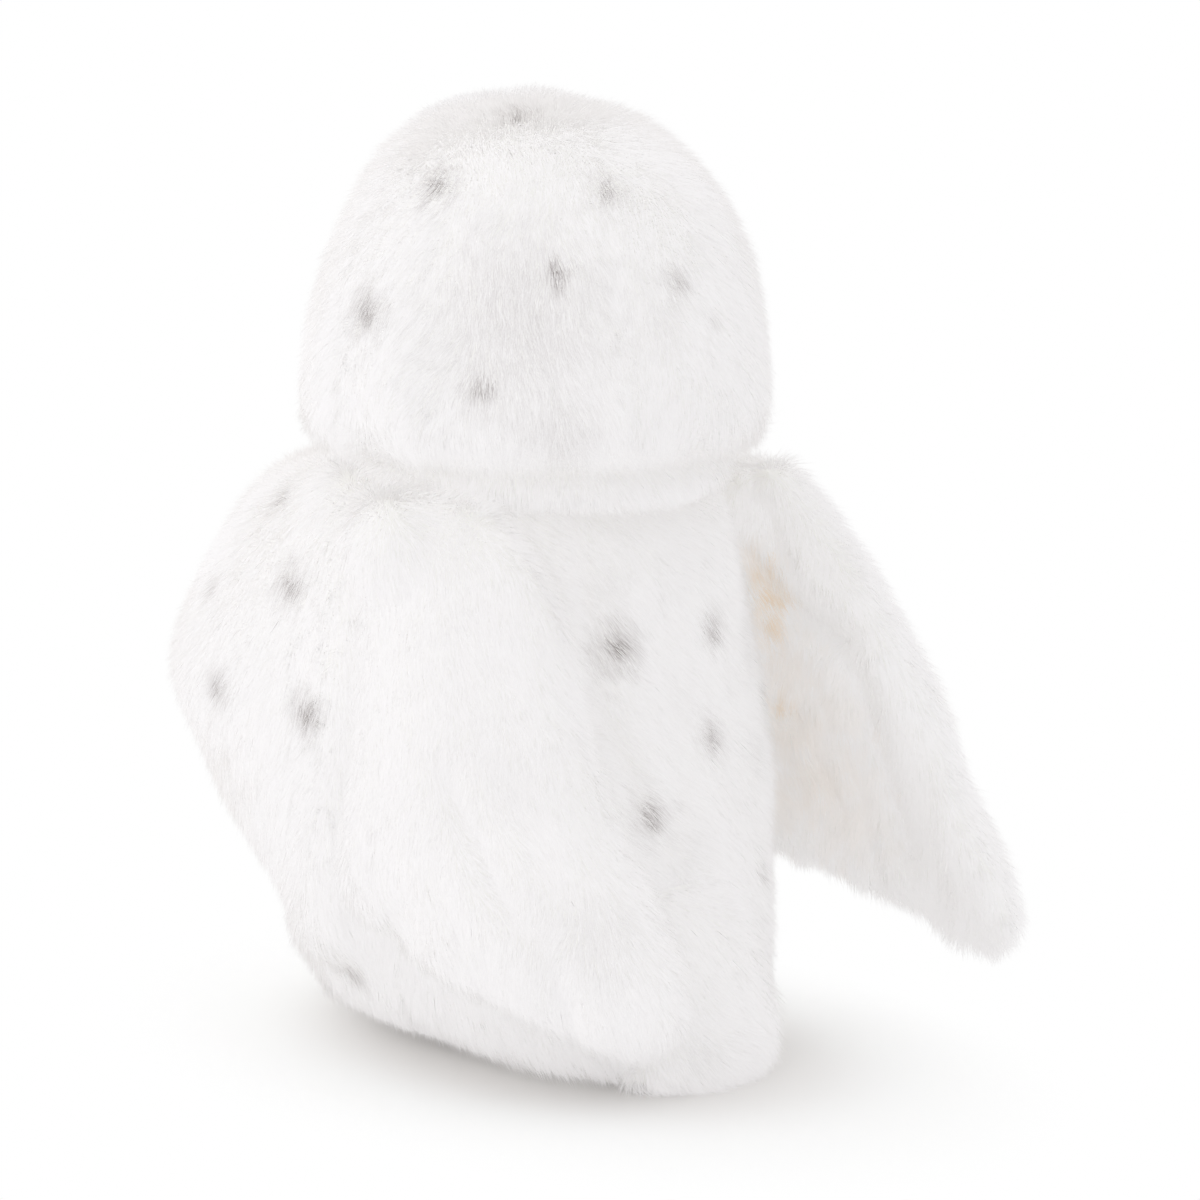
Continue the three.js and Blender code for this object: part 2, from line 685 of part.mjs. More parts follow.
// Feet: three stuffed toes that peep out in front, each with a claw.
const FOOT_SPREAD = 17; // each foot's middle from the owl's
const FOOT_Y = -61;
const TOE_RADIUS = 4.6;
const TOE_REACH = 12; // a toe's length from the foot's middle
const TOE_FAN = 20; // degrees between toes
const PAD_HALF_WIDTH = 11;
const PAD_HALF_LENGTH = 9;
const CLAW_RADIUS = 1.7;
const CLAW_LENGTH = 6;
const CLAW_SINK = 2;
const SMALL_COLUMNS = 10;
const SMALL_ROWS = 6;

const toeNames = ["inner", "middle", "outer"];

function oval(x, y, z) {
  return solidOf(new THREE.SphereGeometry(1, SMALL_COLUMNS, SMALL_ROWS).scale(x, y, z));
}

// From a toe's own frame, which points along -Y, to its place on a foot.
function atToe(solid, side, toe) {
  const place = new THREE.Matrix4().makeRotationZ(
    THREE.MathUtils.degToRad(side * (toe - 1) * TOE_FAN),
  );
  place.setPosition(side * FOOT_SPREAD, FOOT_Y, TOE_RADIUS + FLOOR_CLEAR);
  return moved(solid, place);
}

function clawSolid(grow) {
  const cone = new THREE.ConeGeometry(CLAW_RADIUS + grow, CLAW_LENGTH + 2 * grow, SMALL_COLUMNS);
  cone.rotateX(Math.PI).translate(0, CLAW_SINK - TOE_REACH - CLAW_LENGTH / 2, 0);
  return solidOf(cone);
}

function addFeet() {
  const rump = loft(bodyLevels(-SEAM_GAP));
  for (const [name, side] of [
    ["left", 1],
    ["right", -1],
  ]) {
    let foot = oval(PAD_HALF_WIDTH, PAD_HALF_LENGTH, TOE_RADIUS).translate(
      side * FOOT_SPREAD,
      FOOT_Y,
      TOE_RADIUS + FLOOR_CLEAR,
    );
    toeNames.forEach((_, toe) => {
      const length = TOE_REACH / 2;
      foot = foot.add(atToe(oval(TOE_RADIUS, length, TOE_RADIUS).translate(0, -length, 0), side, toe));
    });
    toeNames.forEach((toeName, toe) => {
      foot = foot.subtract(atToe(clawSolid(SEAM_GAP), side, toe));
      piece(`${name}_${toeName}_claw`, atToe(clawSolid(0), side, toe), horn);
    });
    piece(`${name}_foot`, foot.subtract(rump), shortFur);
  }
}

addBody();
addNeck();
addHead();
addTail();
addWings();
addFeet();

export default owl;
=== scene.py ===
"""White snowy owl soft toy: plush covers with their pile, glass eyes, beak, feet and base cloth.

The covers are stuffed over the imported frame, and the pile is combed over them strand by strand.
"""

import math

import bmesh
import bpy
import numpy as np
from mathutils import Matrix, Vector
from mathutils.bvhtree import BVHTree


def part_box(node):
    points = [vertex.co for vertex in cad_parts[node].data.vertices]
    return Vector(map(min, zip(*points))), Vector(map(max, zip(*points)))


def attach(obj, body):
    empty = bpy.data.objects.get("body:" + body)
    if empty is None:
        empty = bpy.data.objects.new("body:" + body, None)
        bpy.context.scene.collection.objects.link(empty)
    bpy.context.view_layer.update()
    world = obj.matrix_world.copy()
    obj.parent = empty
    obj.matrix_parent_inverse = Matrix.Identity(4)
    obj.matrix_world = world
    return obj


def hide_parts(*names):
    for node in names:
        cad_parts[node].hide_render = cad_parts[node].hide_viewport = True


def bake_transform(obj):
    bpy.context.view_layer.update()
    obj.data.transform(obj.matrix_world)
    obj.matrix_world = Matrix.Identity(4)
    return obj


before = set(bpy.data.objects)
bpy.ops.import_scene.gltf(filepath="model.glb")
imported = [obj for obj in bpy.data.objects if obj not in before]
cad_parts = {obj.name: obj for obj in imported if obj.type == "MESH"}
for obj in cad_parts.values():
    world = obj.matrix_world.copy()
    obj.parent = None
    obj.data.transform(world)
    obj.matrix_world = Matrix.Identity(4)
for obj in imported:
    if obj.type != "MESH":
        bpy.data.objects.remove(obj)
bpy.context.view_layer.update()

MM = 0.001
rng = np.random.default_rng(41)

# ---------------------------------------------------------------- camera, as the photograph
PHOTO_PX = 1200
LENS_MM, SENSOR_MM = 105, 36
FOCAL_PX = LENS_MM / SENSOR_MM * PHOTO_PX
CAMERA_BACK = Vector((0.656, 0.755, 0))  # level, from the owl to the camera
CAMERA_AWAY, CAMERA_HEIGHT, CAMERA_PITCH = 1.092, 0.304, math.radians(8)
AXIS_PX = (525, 561.7)  # where the owl's upright axis is seen, level with the middle of the view


def set_camera():
    """The camera stands behind the owl's left side and looks a little down on it."""
    ahead = -CAMERA_BACK * math.cos(CAMERA_PITCH) - Vector((0, 0, math.sin(CAMERA_PITCH)))
    right = ahead.cross(Vector((0, 0, 1))).normalized()
    up = right.cross(ahead)
    middle = PHOTO_PX / 2
    aim = (ahead + right * (middle - AXIS_PX[0]) / FOCAL_PX
           - up * (middle - AXIS_PX[1]) / FOCAL_PX).normalized()
    data = bpy.data.cameras.new("camera")
    data.lens, data.sensor_width = LENS_MM, SENSOR_MM
    data.clip_start, data.clip_end = 0.05, 20
    camera = bpy.data.objects.new("camera", data)
    bpy.context.scene.collection.objects.link(camera)
    camera.location = CAMERA_BACK * CAMERA_AWAY + Vector((0, 0, CAMERA_HEIGHT))
    camera.rotation_mode = "QUATERNION"
    camera.rotation_quaternion = aim.to_track_quat("-Z", "Y")
    bpy.context.scene.camera = camera
    bpy.context.view_layer.update()
    return camera


camera = set_camera()
EYE_POINT = np.array(camera.location)
VIEW_AXES = np.array(camera.matrix_world.to_3x3()).T  # rows: right, up, back


def photo_px(points):
    """Where points fall in the 1200 pixel photograph."""
    seen = (points - EYE_POINT) @ VIEW_AXES.T
    return np.stack([
        PHOTO_PX / 2 + FOCAL_PX * seen[:, 0] / -seen[:, 2],
        PHOTO_PX / 2 - FOCAL_PX * seen[:, 1] / -seen[:, 2],
    ], 1)


def photo_ray(px):
    """The direction from the camera through a pixel of the photograph."""
    x, y = (px[0] - PHOTO_PX / 2) / FOCAL_PX, (PHOTO_PX / 2 - px[1]) / FOCAL_PX
    way = np.array([x, y, -1.0]) @ VIEW_AXES
    return Vector(way / np.linalg.norm(way))


# ---------------------------------------------------------------- small tools
def select_only(piece):
    bpy.ops.object.select_all(action="DESELECT")
    piece.select_set(True)
    bpy.context.view_layer.objects.active = piece


def apply_all(piece):
    select_only(piece)
    for modifier in list(piece.modifiers):
        bpy.ops.object.modifier_apply(modifier=modifier.name)


def points_of(piece):
    spots = np.zeros(len(piece.data.vertices) * 3, np.float32)
    piece.data.vertices.foreach_get("co", spots)
    return spots.reshape(-1, 3).astype(float)


def normals_of(piece):
    ways = np.zeros(len(piece.data.vertices) * 3, np.float32)
    piece.data.vertex_normals.foreach_get("vector", ways)
    return ways.reshape(-1, 3).astype(float)


def put_points(piece, points):
    piece.data.vertices.foreach_set("co", points.astype(np.float32).ravel())
    piece.data.update()


def unit(ways):
    return ways / np.maximum(np.linalg.norm(ways, axis=-1, keepdims=True), 1e-12)


def ease(value, low, high):
    """0 below low, 1 above high, smooth between."""
    share = np.clip((value - low) / (high - low), 0, 1)
    return share * share * (3 - 2 * share)


WAVE_COUNT = 20


class Waves:
    """A smooth random vector field, from a sum of plane waves of about one wavelength."""

    def __init__(self, wavelength, seed):
        draw = np.random.default_rng(seed)
        ways = unit(draw.normal(size=(WAVE_COUNT, 3)))
        self.turns = ways * (2 * np.pi / (wavelength * draw.uniform(0.7, 1.4, (WAVE_COUNT, 1))))
        self.starts = draw.uniform(0, 2 * np.pi, (3, WAVE_COUNT))
        self.scale = 1 / math.sqrt(WAVE_COUNT / 2)

    def at(self, points, axis=None):
        phase = points @ self.turns.T
        axes = range(3) if axis is None else [axis]
        rows = [np.sin(phase + self.starts[a]).sum(1) * self.scale for a in axes]
        return np.stack(rows, 1) if axis is None else rows[0]


# ---------------------------------------------------------------- materials
def new_material(name, roughness, specular=0.5):
    made = bpy.data.materials.new(name)
    made.use_nodes = True
    shader = made.node_tree.nodes["Principled BSDF"]
    shader.inputs["Roughness"].default_value = roughness
    shader.inputs["Specular IOR Level"].default_value = specular
    return made, made.node_tree, shader


def add_ramp(tree, stops, factor):
    ramp = tree.nodes.new("ShaderNodeValToRGB")
    elements = ramp.color_ramp.elements
    while len(elements) < len(stops):
        elements.new(0.5)
    for element, (place, colour) in zip(elements, stops):
        element.position = place
        element.color = (*colour, 1)
    tree.links.new(factor, ramp.inputs["Fac"])
    return ramp


WHITE = (1, 1, 1)
# The roots are darker than the tips: painted shade deep in the pile, which casts no shadow on itself.
PILE_SHADED_ROOT, PILE_TIP = (0.95, 0.93, 0.925), (0.985, 0.97, 0.977)
# The cream at the start of the pile map is warm painted shade, for the armpit and the shaded inside of the
# right wing.
PILE_WARM_SHADE, PILE_FAINTEST_WARM_SHADE, PILE_DULL = (0.92, 0.74, 0.54), (0.99, 0.985, 0.98), (0.955, 0.95, 0.95)
# These greys colour the sprayed spots, and their lightest end also the soft patches of painted shade on the
# head and along the hem.
GREY_LIGHT, GREY_MIDDLE, SPOT_DARK = (0.76, 0.745, 0.74), (0.45, 0.425, 0.42), (0.22, 0.195, 0.185)
PILE_MAP = "pile"
# Across the pile map: the warm painted shade that fades out, the strands' own whites, and then the greys of
# the sprayed spots and of the painted shade.
WARM_SHADE_END, WHITE_START, GREY_START = 0.13, 0.15, 0.3


def pile_material(name, root, tip):
    """Across the pile map runs the strand's tone, and up it runs the strand from its root to its tip, darker
    at the root as painted shade deep in the pile.
    """
    made, tree, shader = new_material(name, 0.9, 0.1)
    where = tree.nodes.new("ShaderNodeUVMap")
    where.uv_map = PILE_MAP
    split = tree.nodes.new("ShaderNodeSeparateXYZ")
    tree.links.new(where.outputs["UV"], split.inputs["Vector"])
    tone = add_ramp(tree, [
        (0, PILE_WARM_SHADE), (WARM_SHADE_END, PILE_FAINTEST_WARM_SHADE), (WHITE_START, PILE_DULL), (GREY_START, WHITE),
        (0.45, GREY_LIGHT), (0.7, GREY_MIDDLE), (1, SPOT_DARK),
    ], split.outputs["X"])
    along = add_ramp(tree, [(0, root), (0.55, tip)], split.outputs["Y"])
    mix = tree.nodes.new("ShaderNodeMix")
    mix.data_type, mix.blend_type = "RGBA", "MULTIPLY"
    mix.inputs["Factor"].default_value = 1
    tree.links.new(along.outputs["Color"], mix.inputs["A"])
    tree.links.new(tone.outputs["Color"], mix.inputs["B"])
    tree.links.new(mix.outputs["Result"], shader.inputs["Base Color"])
    return made


def cloth_material(name, dark, light, scale, bump):
    """Cloth with fine ribs and a little unevenness of colour, on object coordinates."""
    made, tree, shader = new_material(name, 0.92, 0.15)
    place = tree.nodes.new("ShaderNodeTexCoord")
    ribs = tree.nodes.new("ShaderNodeTexWave")
    ribs.inputs["Scale"].default_value = scale
    ribs.inputs["Distortion"].default_value = 1.2
    ribs.inputs["Detail"].default_value = 1
    cloud = tree.nodes.new("ShaderNodeTexNoise")
    cloud.inputs["Scale"].default_value = scale / 4
    cloud.inputs["Detail"].default_value = 4
    for texture in (ribs, cloud):
        tree.links.new(place.outputs["Object"], texture.inputs["Vector"])
    mix = tree.nodes.new("ShaderNodeMix")
    mix.inputs["Factor"].default_value = 0.5
    tree.links.new(ribs.outputs["Fac"], mix.inputs["A"])
    tree.links.new(cloud.outputs["Fac"], mix.inputs["B"])
    colour = add_ramp(tree, [(0.2, dark), (0.8, light)], mix.outputs["Result"])
    tree.links.new(colour.outputs["Color"], shader.inputs["Base Color"])
    height = tree.nodes.new("ShaderNodeBump")
    height.inputs["Strength"].default_value = bump
    height.inputs["Distance"].default_value = 0.3 * MM
    tree.links.new(ribs.outputs["Fac"], height.inputs["Height"])
    tree.links.new(height.outputs["Normal"], shader.inputs["Normal"])
    return made


HORN_DARK, HORN_LIGHT = (0.012, 0.011, 0.011), (0.03, 0.028, 0.027)


def horn_material():
    """Satin black, a little uneven in colour."""
    made, tree, shader = new_material("black_horn", 0.35)
    place = tree.nodes.new("ShaderNodeTexCoord")
    noise = tree.nodes.new("ShaderNodeTexNoise")
    noise.inputs["Scale"].default_value = 400
    tree.links.new(place.outputs["Object"], noise.inputs["Vector"])
    colour = add_ramp(tree, [(0.3, HORN_DARK), (0.7, HORN_LIGHT)], noise.outputs["Fac"])
    tree.links.new(colour.outputs["Color"], shader.inputs["Base Color"])
    return made


EYE_RADIUS = 9 * MM
PUPIL, RIM = (0.004, 0.004, 0.004), (0.01, 0.009, 0.008)
AMBER_INNER, AMBER, AMBER_OUTER = (0.42, 0.2, 0.02), (0.85, 0.52, 0.05), (0.7, 0.36, 0.03)


def eye_material(name, centre, axis):
    """Rings about the eye's axis: a black pupil, an amber iris and a dark rim."""
    made, tree, shader = new_material(name, 0.08)
    shader.inputs["Coat Weight"].default_value = 0.6
    place = tree.nodes.new("ShaderNodeTexCoord")
    off = tree.nodes.new("ShaderNodeVectorMath")
    off.operation = "SUBTRACT"
    off.inputs[1].default_value = centre
    tree.links.new(place.outputs["Object"], off.inputs[0])
    around = tree.nodes.new("ShaderNodeVectorMath")
    around.operation = "CROSS_PRODUCT"
    around.inputs[1].default_value = axis
    tree.links.new(off.outputs["Vector"], around.inputs[0])
    radius = tree.nodes.new("ShaderNodeVectorMath")
    radius.operation = "LENGTH"
    tree.links.new(around.outputs["Vector"], radius.inputs[0])
    share = tree.nodes.new("ShaderNodeMath")
    share.operation = "DIVIDE"
    share.inputs[1].default_value = EYE_RADIUS
    tree.links.new(radius.outputs["Value"], share.inputs[0])
    rings = add_ramp(tree, [
        (0, PUPIL), (0.44, PUPIL), (0.48, AMBER_INNER), (0.7, AMBER), (0.86, AMBER_OUTER), (0.92, RIM),
    ], share.outputs["Value"])
    tree.links.new(rings.outputs["Color"], shader.inputs["Base Color"])
    return made


white_pile = pile_material("white_pile", PILE_SHADED_ROOT, PILE_TIP)
backing = cloth_material("plush_backing", (0.95, 0.935, 0.91), (0.975, 0.965, 0.95), 900, 0.3)
base_cloth = cloth_material("base_cloth", (0.8, 0.79, 0.76), (0.88, 0.87, 0.85), 700, 0.5)
horn = horn_material()
nylon = cloth_material("washer_nylon", (0.8, 0.79, 0.75), (0.86, 0.85, 0.81), 200, 0.05)


# ---------------------------------------------------------------- covers, stuffed
def cover_from(name, nodes, voxel, smooth, lumps=(), rolls=()):
    """One closed skin around copies of CAD nodes that lie in each other, with soft lumps and rolls added."""
    joined = bmesh.new()
    for node in nodes:
        joined.from_mesh(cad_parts[node].data)
    for centre, radii in lumps:
        place = Matrix.Translation(centre) @ Matrix.Diagonal((*radii, 1))
        bmesh.ops.create_uvsphere(joined, u_segments=32, v_segments=16, radius=1, matrix=place)
    for roll in rolls:
        joined.from_mesh(roll.data)
        bpy.data.objects.remove(roll)
    bmesh.ops.remove_doubles(joined, verts=joined.verts, dist=0.01 * MM)
    mesh = bpy.data.meshes.new(name)
    joined.to_mesh(mesh)
    joined.free()
    cover = bpy.data.objects.new(name, mesh)
    bpy.context.scene.collection.objects.link(cover)
    remesh = cover.modifiers.new("close", "REMESH")
    remesh.mode, remesh.voxel_size = "VOXEL", voxel
    soften = cover.modifiers.new("soften", "SMOOTH")
    soften.factor, soften.iterations = 0.5, smooth
    apply_all(cover)
    keep_outer_skin(cover)
    return cover


def keep_outer_skin(cover):
    """Drops the loose shells that a remesh leaves inside the largest one."""
    shells = bmesh.new()
    shells.from_mesh(cover.data)
    left, groups = set(shells.verts), []
    while left:
        stack, group = [left.pop()], []
        while stack:
            vert = stack.pop()
            group.append(vert)
            for edge in vert.link_edges:
                other = edge.other_vert(vert)
                if other in left:
                    left.remove(other)
                    stack.append(other)
        groups.append(group)
    groups.sort(key=len)
    for group in groups[:-1]:
        bmesh.ops.delete(shells, geom=group, context="VERTS")
    bmesh.ops.recalc_face_normals(shells, faces=shells.faces)
    shells.to_mesh(cover.data)
    shells.free()


CLOTH_STIFFNESS = 25
CLOTH_FRAMES = 20
TAKEN_IN = 0.3 * MM  # the cloth starts this far inside its cover


def stuff(cover, pressure, cap):
    """Blows the cover up with Cloth, and holds each point within cap of where it began."""
    before = points_of(cover)
    put_points(cover, before - normals_of(cover) * TAKEN_IN)
    cloth = cover.modifiers.new("stuffing", "CLOTH")
    cloth.settings.use_pressure = True
    cloth.settings.uniform_pressure_force = pressure
    cloth.settings.effector_weights.gravity = 0
    cloth.settings.tension_stiffness = cloth.settings.compression_stiffness = CLOTH_STIFFNESS
    cloth.point_cache.frame_start, cloth.point_cache.frame_end = 1, CLOTH_FRAMES
    scene = bpy.context.scene
    for step in range(1, CLOTH_FRAMES + 1):
        scene.frame_set(step)
    apply_all(cover)
    scene.frame_set(1)
    moved = points_of(cover) - before
    far = np.linalg.norm(moved, axis=1, keepdims=True)
    put_points(cover, before + moved * np.minimum(1, cap / np.maximum(far, 1e-9)))
    finer = cover.modifiers.new("finer", "SUBSURF")
    finer.levels = finer.render_levels = 1
    apply_all(cover)
    return cover


ROLL_OFF = 2.4  # the middle of the roll beside a crease, in widths of the crease


def press_crease(cover, line_px, width, depth, swell):
    """Presses a crease in along a line of photograph pixels, on the side that faces the camera.

    The stuffing that it pushes aside swells in a roll on both sides. A depth below 0 raises a ridge.
    """
    points, ways = points_of(cover), normals_of(cover)
    toward = unit(EYE_POINT - points)
    facing = ease((ways * toward).sum(1), 0.0, 0.3)
    px = photo_px(points)
    near = np.full(len(points), 1e9)
    for a, b in zip(np.array(line_px[:-1], float), np.array(line_px[1:], float)):
        along = b - a
        share = np.clip(((px - a) @ along) / (along @ along), 0, 1)
        near = np.minimum(near, np.linalg.norm(px - a - share[:, None] * along, axis=1))
    pressed = np.exp(-((near / width) ** 2)) - swell * np.exp(-(((near - ROLL_OFF * width) / width) ** 2))
    sunk = pressed * depth * facing
    put_points(cover, points - ways * sunk[:, None])


def drape(cover, pulls):
    """Draws a skin across the photograph's plane, by pulls of (x, y, right, down, reach) in its pixels."""
    points = points_of(cover)
    px = photo_px(points)
    weights = np.stack([
        np.exp(-(((px - (x, y)) ** 2).sum(1) / reach**2)) for x, y, _, _, reach in pulls
    ], 1)
    weights /= np.maximum(weights.sum(1, keepdims=True), 1)
    shift = weights @ np.array([(right, down) for _, _, right, down, _ in pulls], float)
    depth = -((points - EYE_POINT) @ VIEW_AXES[2])
    scale = (depth / FOCAL_PX)[:, None]
    put_points(cover, points + scale * (shift[:, :1] * VIEW_AXES[0] - shift[:, 1:] * VIEW_AXES[1]))
    even = cover.modifiers.new("even", "SMOOTH")
    even.factor, even.iterations = 0.5, 6
    apply_all(cover)


# ---------------------------------------------------------------- pile
broad, tufts = Waves(38 * MM, 5), Waves(9 * MM, 6)
STRAND_LIMIT = 99000  # strands in a piece, of two triangles each
PILE_LENGTH = 10.5 * MM
SHORTEST, LONGEST = 0.78, 1.12  # single strands, as shares of the pile's length
COVERED_WITHIN = 10 * MM
COVERED_SHARE = 0.4  # of the strands grow where another cover lies
BROAD_SWAY, TUFT_SWAY, STRAY = 0.22, 0.1, 0.12  # what turns the comb's way: waves, tufts and single strands
LENGTH_SWAY = 0.08
LEAN_SPREAD = 0.12  # radians
BEND_SHARE = 0.45  # of a strand's length, from its root to its bend
TUFT_CELL, TUFT_WARP, TUFT_PULL = 3 * MM, 0.4, 0.09
CELL_CODES = (73856093, 19349663, 83492791)  # large primes, which give each cell a number of its own
LOWEST_TIP = 0.5 * MM
HANG_SPREAD = 1.6 * MM  # how unevenly the tips hang over the floor


def lies_under(points, ways, others):
    """Which places have another cover lying over them at rest, closer than the pile is long."""
    return np.array([any(other.ray_cast(Vector(point), Vector(way), COVERED_WITHIN)[0] is not None
                         for other in others) for point, way in zip(points, ways)])


def roots_on(cover, per_mm2, inset, others):
    """Random places on a cover, evenly by area, with the smooth normal at each.

    Under another cover, where only a moved wing or head shows them, they are sparser.
    """
    mesh = cover.data
    mesh.calc_loop_triangles()
    corners = np.zeros(len(mesh.loop_triangles) * 3, np.int32)
    mesh.loop_triangles.foreach_get("vertices", corners)
    corners = corners.reshape(-1, 3)
    points, ways = points_of(cover), normals_of(cover)
    a, b, c = (points[corners[:, i]] for i in range(3))
    areas = np.linalg.norm(np.cross(b - a, c - a), axis=1) / 2
    if others:
        areas[lies_under(points, ways, others)[corners].all(1)] *= COVERED_SHARE
    count = int(areas.sum() / MM**2 * per_mm2)
    picked = rng.choice(len(areas), count, p=areas / areas.sum())
    r, s = np.sqrt(rng.random(count)), rng.random(count)
    shares = np.stack([1 - r, r * (1 - s), r * s], 1)
    roots = (points[corners[picked]] * shares[:, :, None]).sum(1)
    outward = unit((ways[corners[picked]] * shares[:, :, None]).sum(1))
    return roots - outward * inset, outward


def gather(tips):
    """Draws the tips in each small cell a little together, so that the pile parts into tufts."""
    keys = np.floor((tips + tufts.at(tips) * TUFT_CELL * TUFT_WARP) / TUFT_CELL).astype(np.int64)
    x, y, z = (keys * CELL_CODES).T
    code = x ^ y ^ z
    _, group = np.unique(code, return_inverse=True)
    count = np.bincount(group).astype(float)
    middle = np.stack([np.bincount(group, tips[:, i]) / count for i in range(3)], 1)
    return tips + (middle[group] - tips) * TUFT_PULL * rng.uniform(0.3, 1, (len(tips), 1))


def comb_pile(roots, outward, comb, length, lean):
    """The bend and tip of each strand: it rises from the backing and lies over the way it is combed."""
    if callable(length):
        length = length(roots, outward)[:, None]
    flow = comb(roots)
    laid = np.minimum(np.linalg.norm(flow, axis=1, keepdims=True), 1)  # a weak comb leaves it standing
    flow = flow + broad.at(roots) * BROAD_SWAY + tufts.at(roots) * TUFT_SWAY
    flow = flow + rng.normal(size=flow.shape) * STRAY
    flow = unit(flow - outward * (flow * outward).sum(1, keepdims=True))
    long = length * rng.uniform(SHORTEST, LONGEST, (len(roots), 1))
    long = long * (1 + LENGTH_SWAY * broad.at(roots, 1)[:, None])
    spread = rng.normal(size=(len(roots), 1)) * LEAN_SPREAD
    low, high = lean[0] * laid + spread, lean[1] * laid + spread
    bend = roots + long * BEND_SHARE * (outward * np.cos(low) + flow * np.sin(low))
    tip = bend + long * (1 - BEND_SHARE) * (outward * np.cos(high) + flow * np.sin(high))
    return bend, tip


# The marks are the sprayed spots and the soft patches of painted shade.
RAGGEDNESS, RAGGED_FINENESS = 0.22, 1.7  # of the edges of the sprayed marks


def spray_and_painted_shade(points, marks):
    """How strongly the marks colour the pile at some points, the airbrushed spots and the patches of painted
    shade: the strongest mark there.
    """
    shade = np.zeros(len(points))
    for centre, size, strength in marks:
        near = np.linalg.norm(points - centre, axis=1)
        reach = near < 3 * size
        ragged = size * (1 + RAGGEDNESS * tufts.at(points[reach] * RAGGED_FINENESS, 0))
        shade[reach] = np.maximum(shade[reach], strength * np.exp(-((near[reach] / ragged) ** 2)))
    return shade


# A strand's four points are its root, the two sides of its bend and its tip. Two triangles join them.
KITE_CORNERS = np.array([0, 2, 1, 1, 2, 3])
ALONG_STRAND = np.array([0, 0.5, 0.5, 1])
TONE_OF_POINT = np.array([0, 1, 1, 2])
MAP_SPREAD = np.array([0, 0.5, -0.5, 0]) * 0.006  # a strand is a little wide on the map too, so that it bakes
FACING_SHARE = 0.8  # how far the shading follows a strand's own flat side
ROLL_SPREAD = 0.5  # radians, about the strand


def strands_mesh(name, roots, bends, tips, outward, width, tones):
    """Thin strands: each is a bent kite of two faces, widest at its bend, its flat side turned outward."""
    count = len(roots)
    lower = unit(bends - roots)
    across = unit(np.cross(lower, outward))
    roll = rng.normal(size=(count, 1)) * ROLL_SPREAD
    across = unit(across * np.cos(roll) + np.cross(lower, across) * np.sin(roll))
    half = across * width / 2
    places = np.stack([roots, bends - half, bends + half, tips], 1)
    mesh = bpy.data.meshes.new(name)
    mesh.vertices.add(count * 4)
    mesh.vertices.foreach_set("co", places.astype(np.float32).ravel())
    loops = (np.arange(count)[:, None] * 4 + KITE_CORNERS).ravel()
    mesh.loops.add(len(loops))
    mesh.loops.foreach_set("vertex_index", loops.astype(np.int32))
    mesh.polygons.add(count * 2)
    mesh.polygons.foreach_set("loop_start", (np.arange(count * 2) * 3).astype(np.int32))
    mesh.polygons.foreach_set("use_smooth", np.ones(count * 2, bool))
    mesh.update(calc_edges=True)
    across_map = np.clip(tones[:, TONE_OF_POINT[KITE_CORNERS]] + MAP_SPREAD[KITE_CORNERS], 0.004, 0.996)
    up_map = np.broadcast_to(ALONG_STRAND[KITE_CORNERS] * 0.98 + 0.01, across_map.shape)
    places_on_map = np.stack([across_map, up_map], 2)
    for layer_name in (PILE_MAP, "OFBake"):
        layer = mesh.uv_layers.new(name=layer_name)
        layer.data.foreach_set("uv", places_on_map.astype(np.float32).ravel())
    flat = np.cross(across, lower)
    uneven = tufts.at(roots) * 0.05 + rng.normal(size=(count, 3)) * 0.03
    soft = unit(outward + FACING_SHARE * flat + uneven)
    softs = np.repeat(soft[:, None], 4, 1).reshape(-1, 3)
    mesh.normals_split_custom_set_from_vertices(softs.astype(np.float32))
    return mesh


FAINTEST_MARK = 0.02
LEAST_SOAKED, MOST_SOAKED = 0.1, 1.4  # how much of the sprayed colour single strands take up


def tones_of(roots, bends, tips, marks, warm_shade, dullest):
    """The place across the pile map of each strand's root, bend and tip."""
    white = rng.uniform(dullest, GREY_START, len(roots))
    # Warm painted shade in the armpit and on the shaded inside of the right wing.
    warm_shade_share = np.minimum(spray_and_painted_shade(roots, warm_shade), 1)
    warm_shade_tone = WARM_SHADE_END * (1 - warm_shade_share * rng.uniform(0.75, 1, len(roots)))
    white = np.where(warm_shade_share > FAINTEST_MARK, warm_shade_tone, white)
    soaked = rng.uniform(LEAST_SOAKED, MOST_SOAKED, len(roots))
    tones = []
    for places in (bends, tips):
        grey = np.clip(spray_and_painted_shade(places, marks) * soaked, 0, 1)
        tones.append(np.where(grey > FAINTEST_MARK, GREY_START + (1 - GREY_START) * grey, white))
    return np.stack([tones[0], *tones], 1)


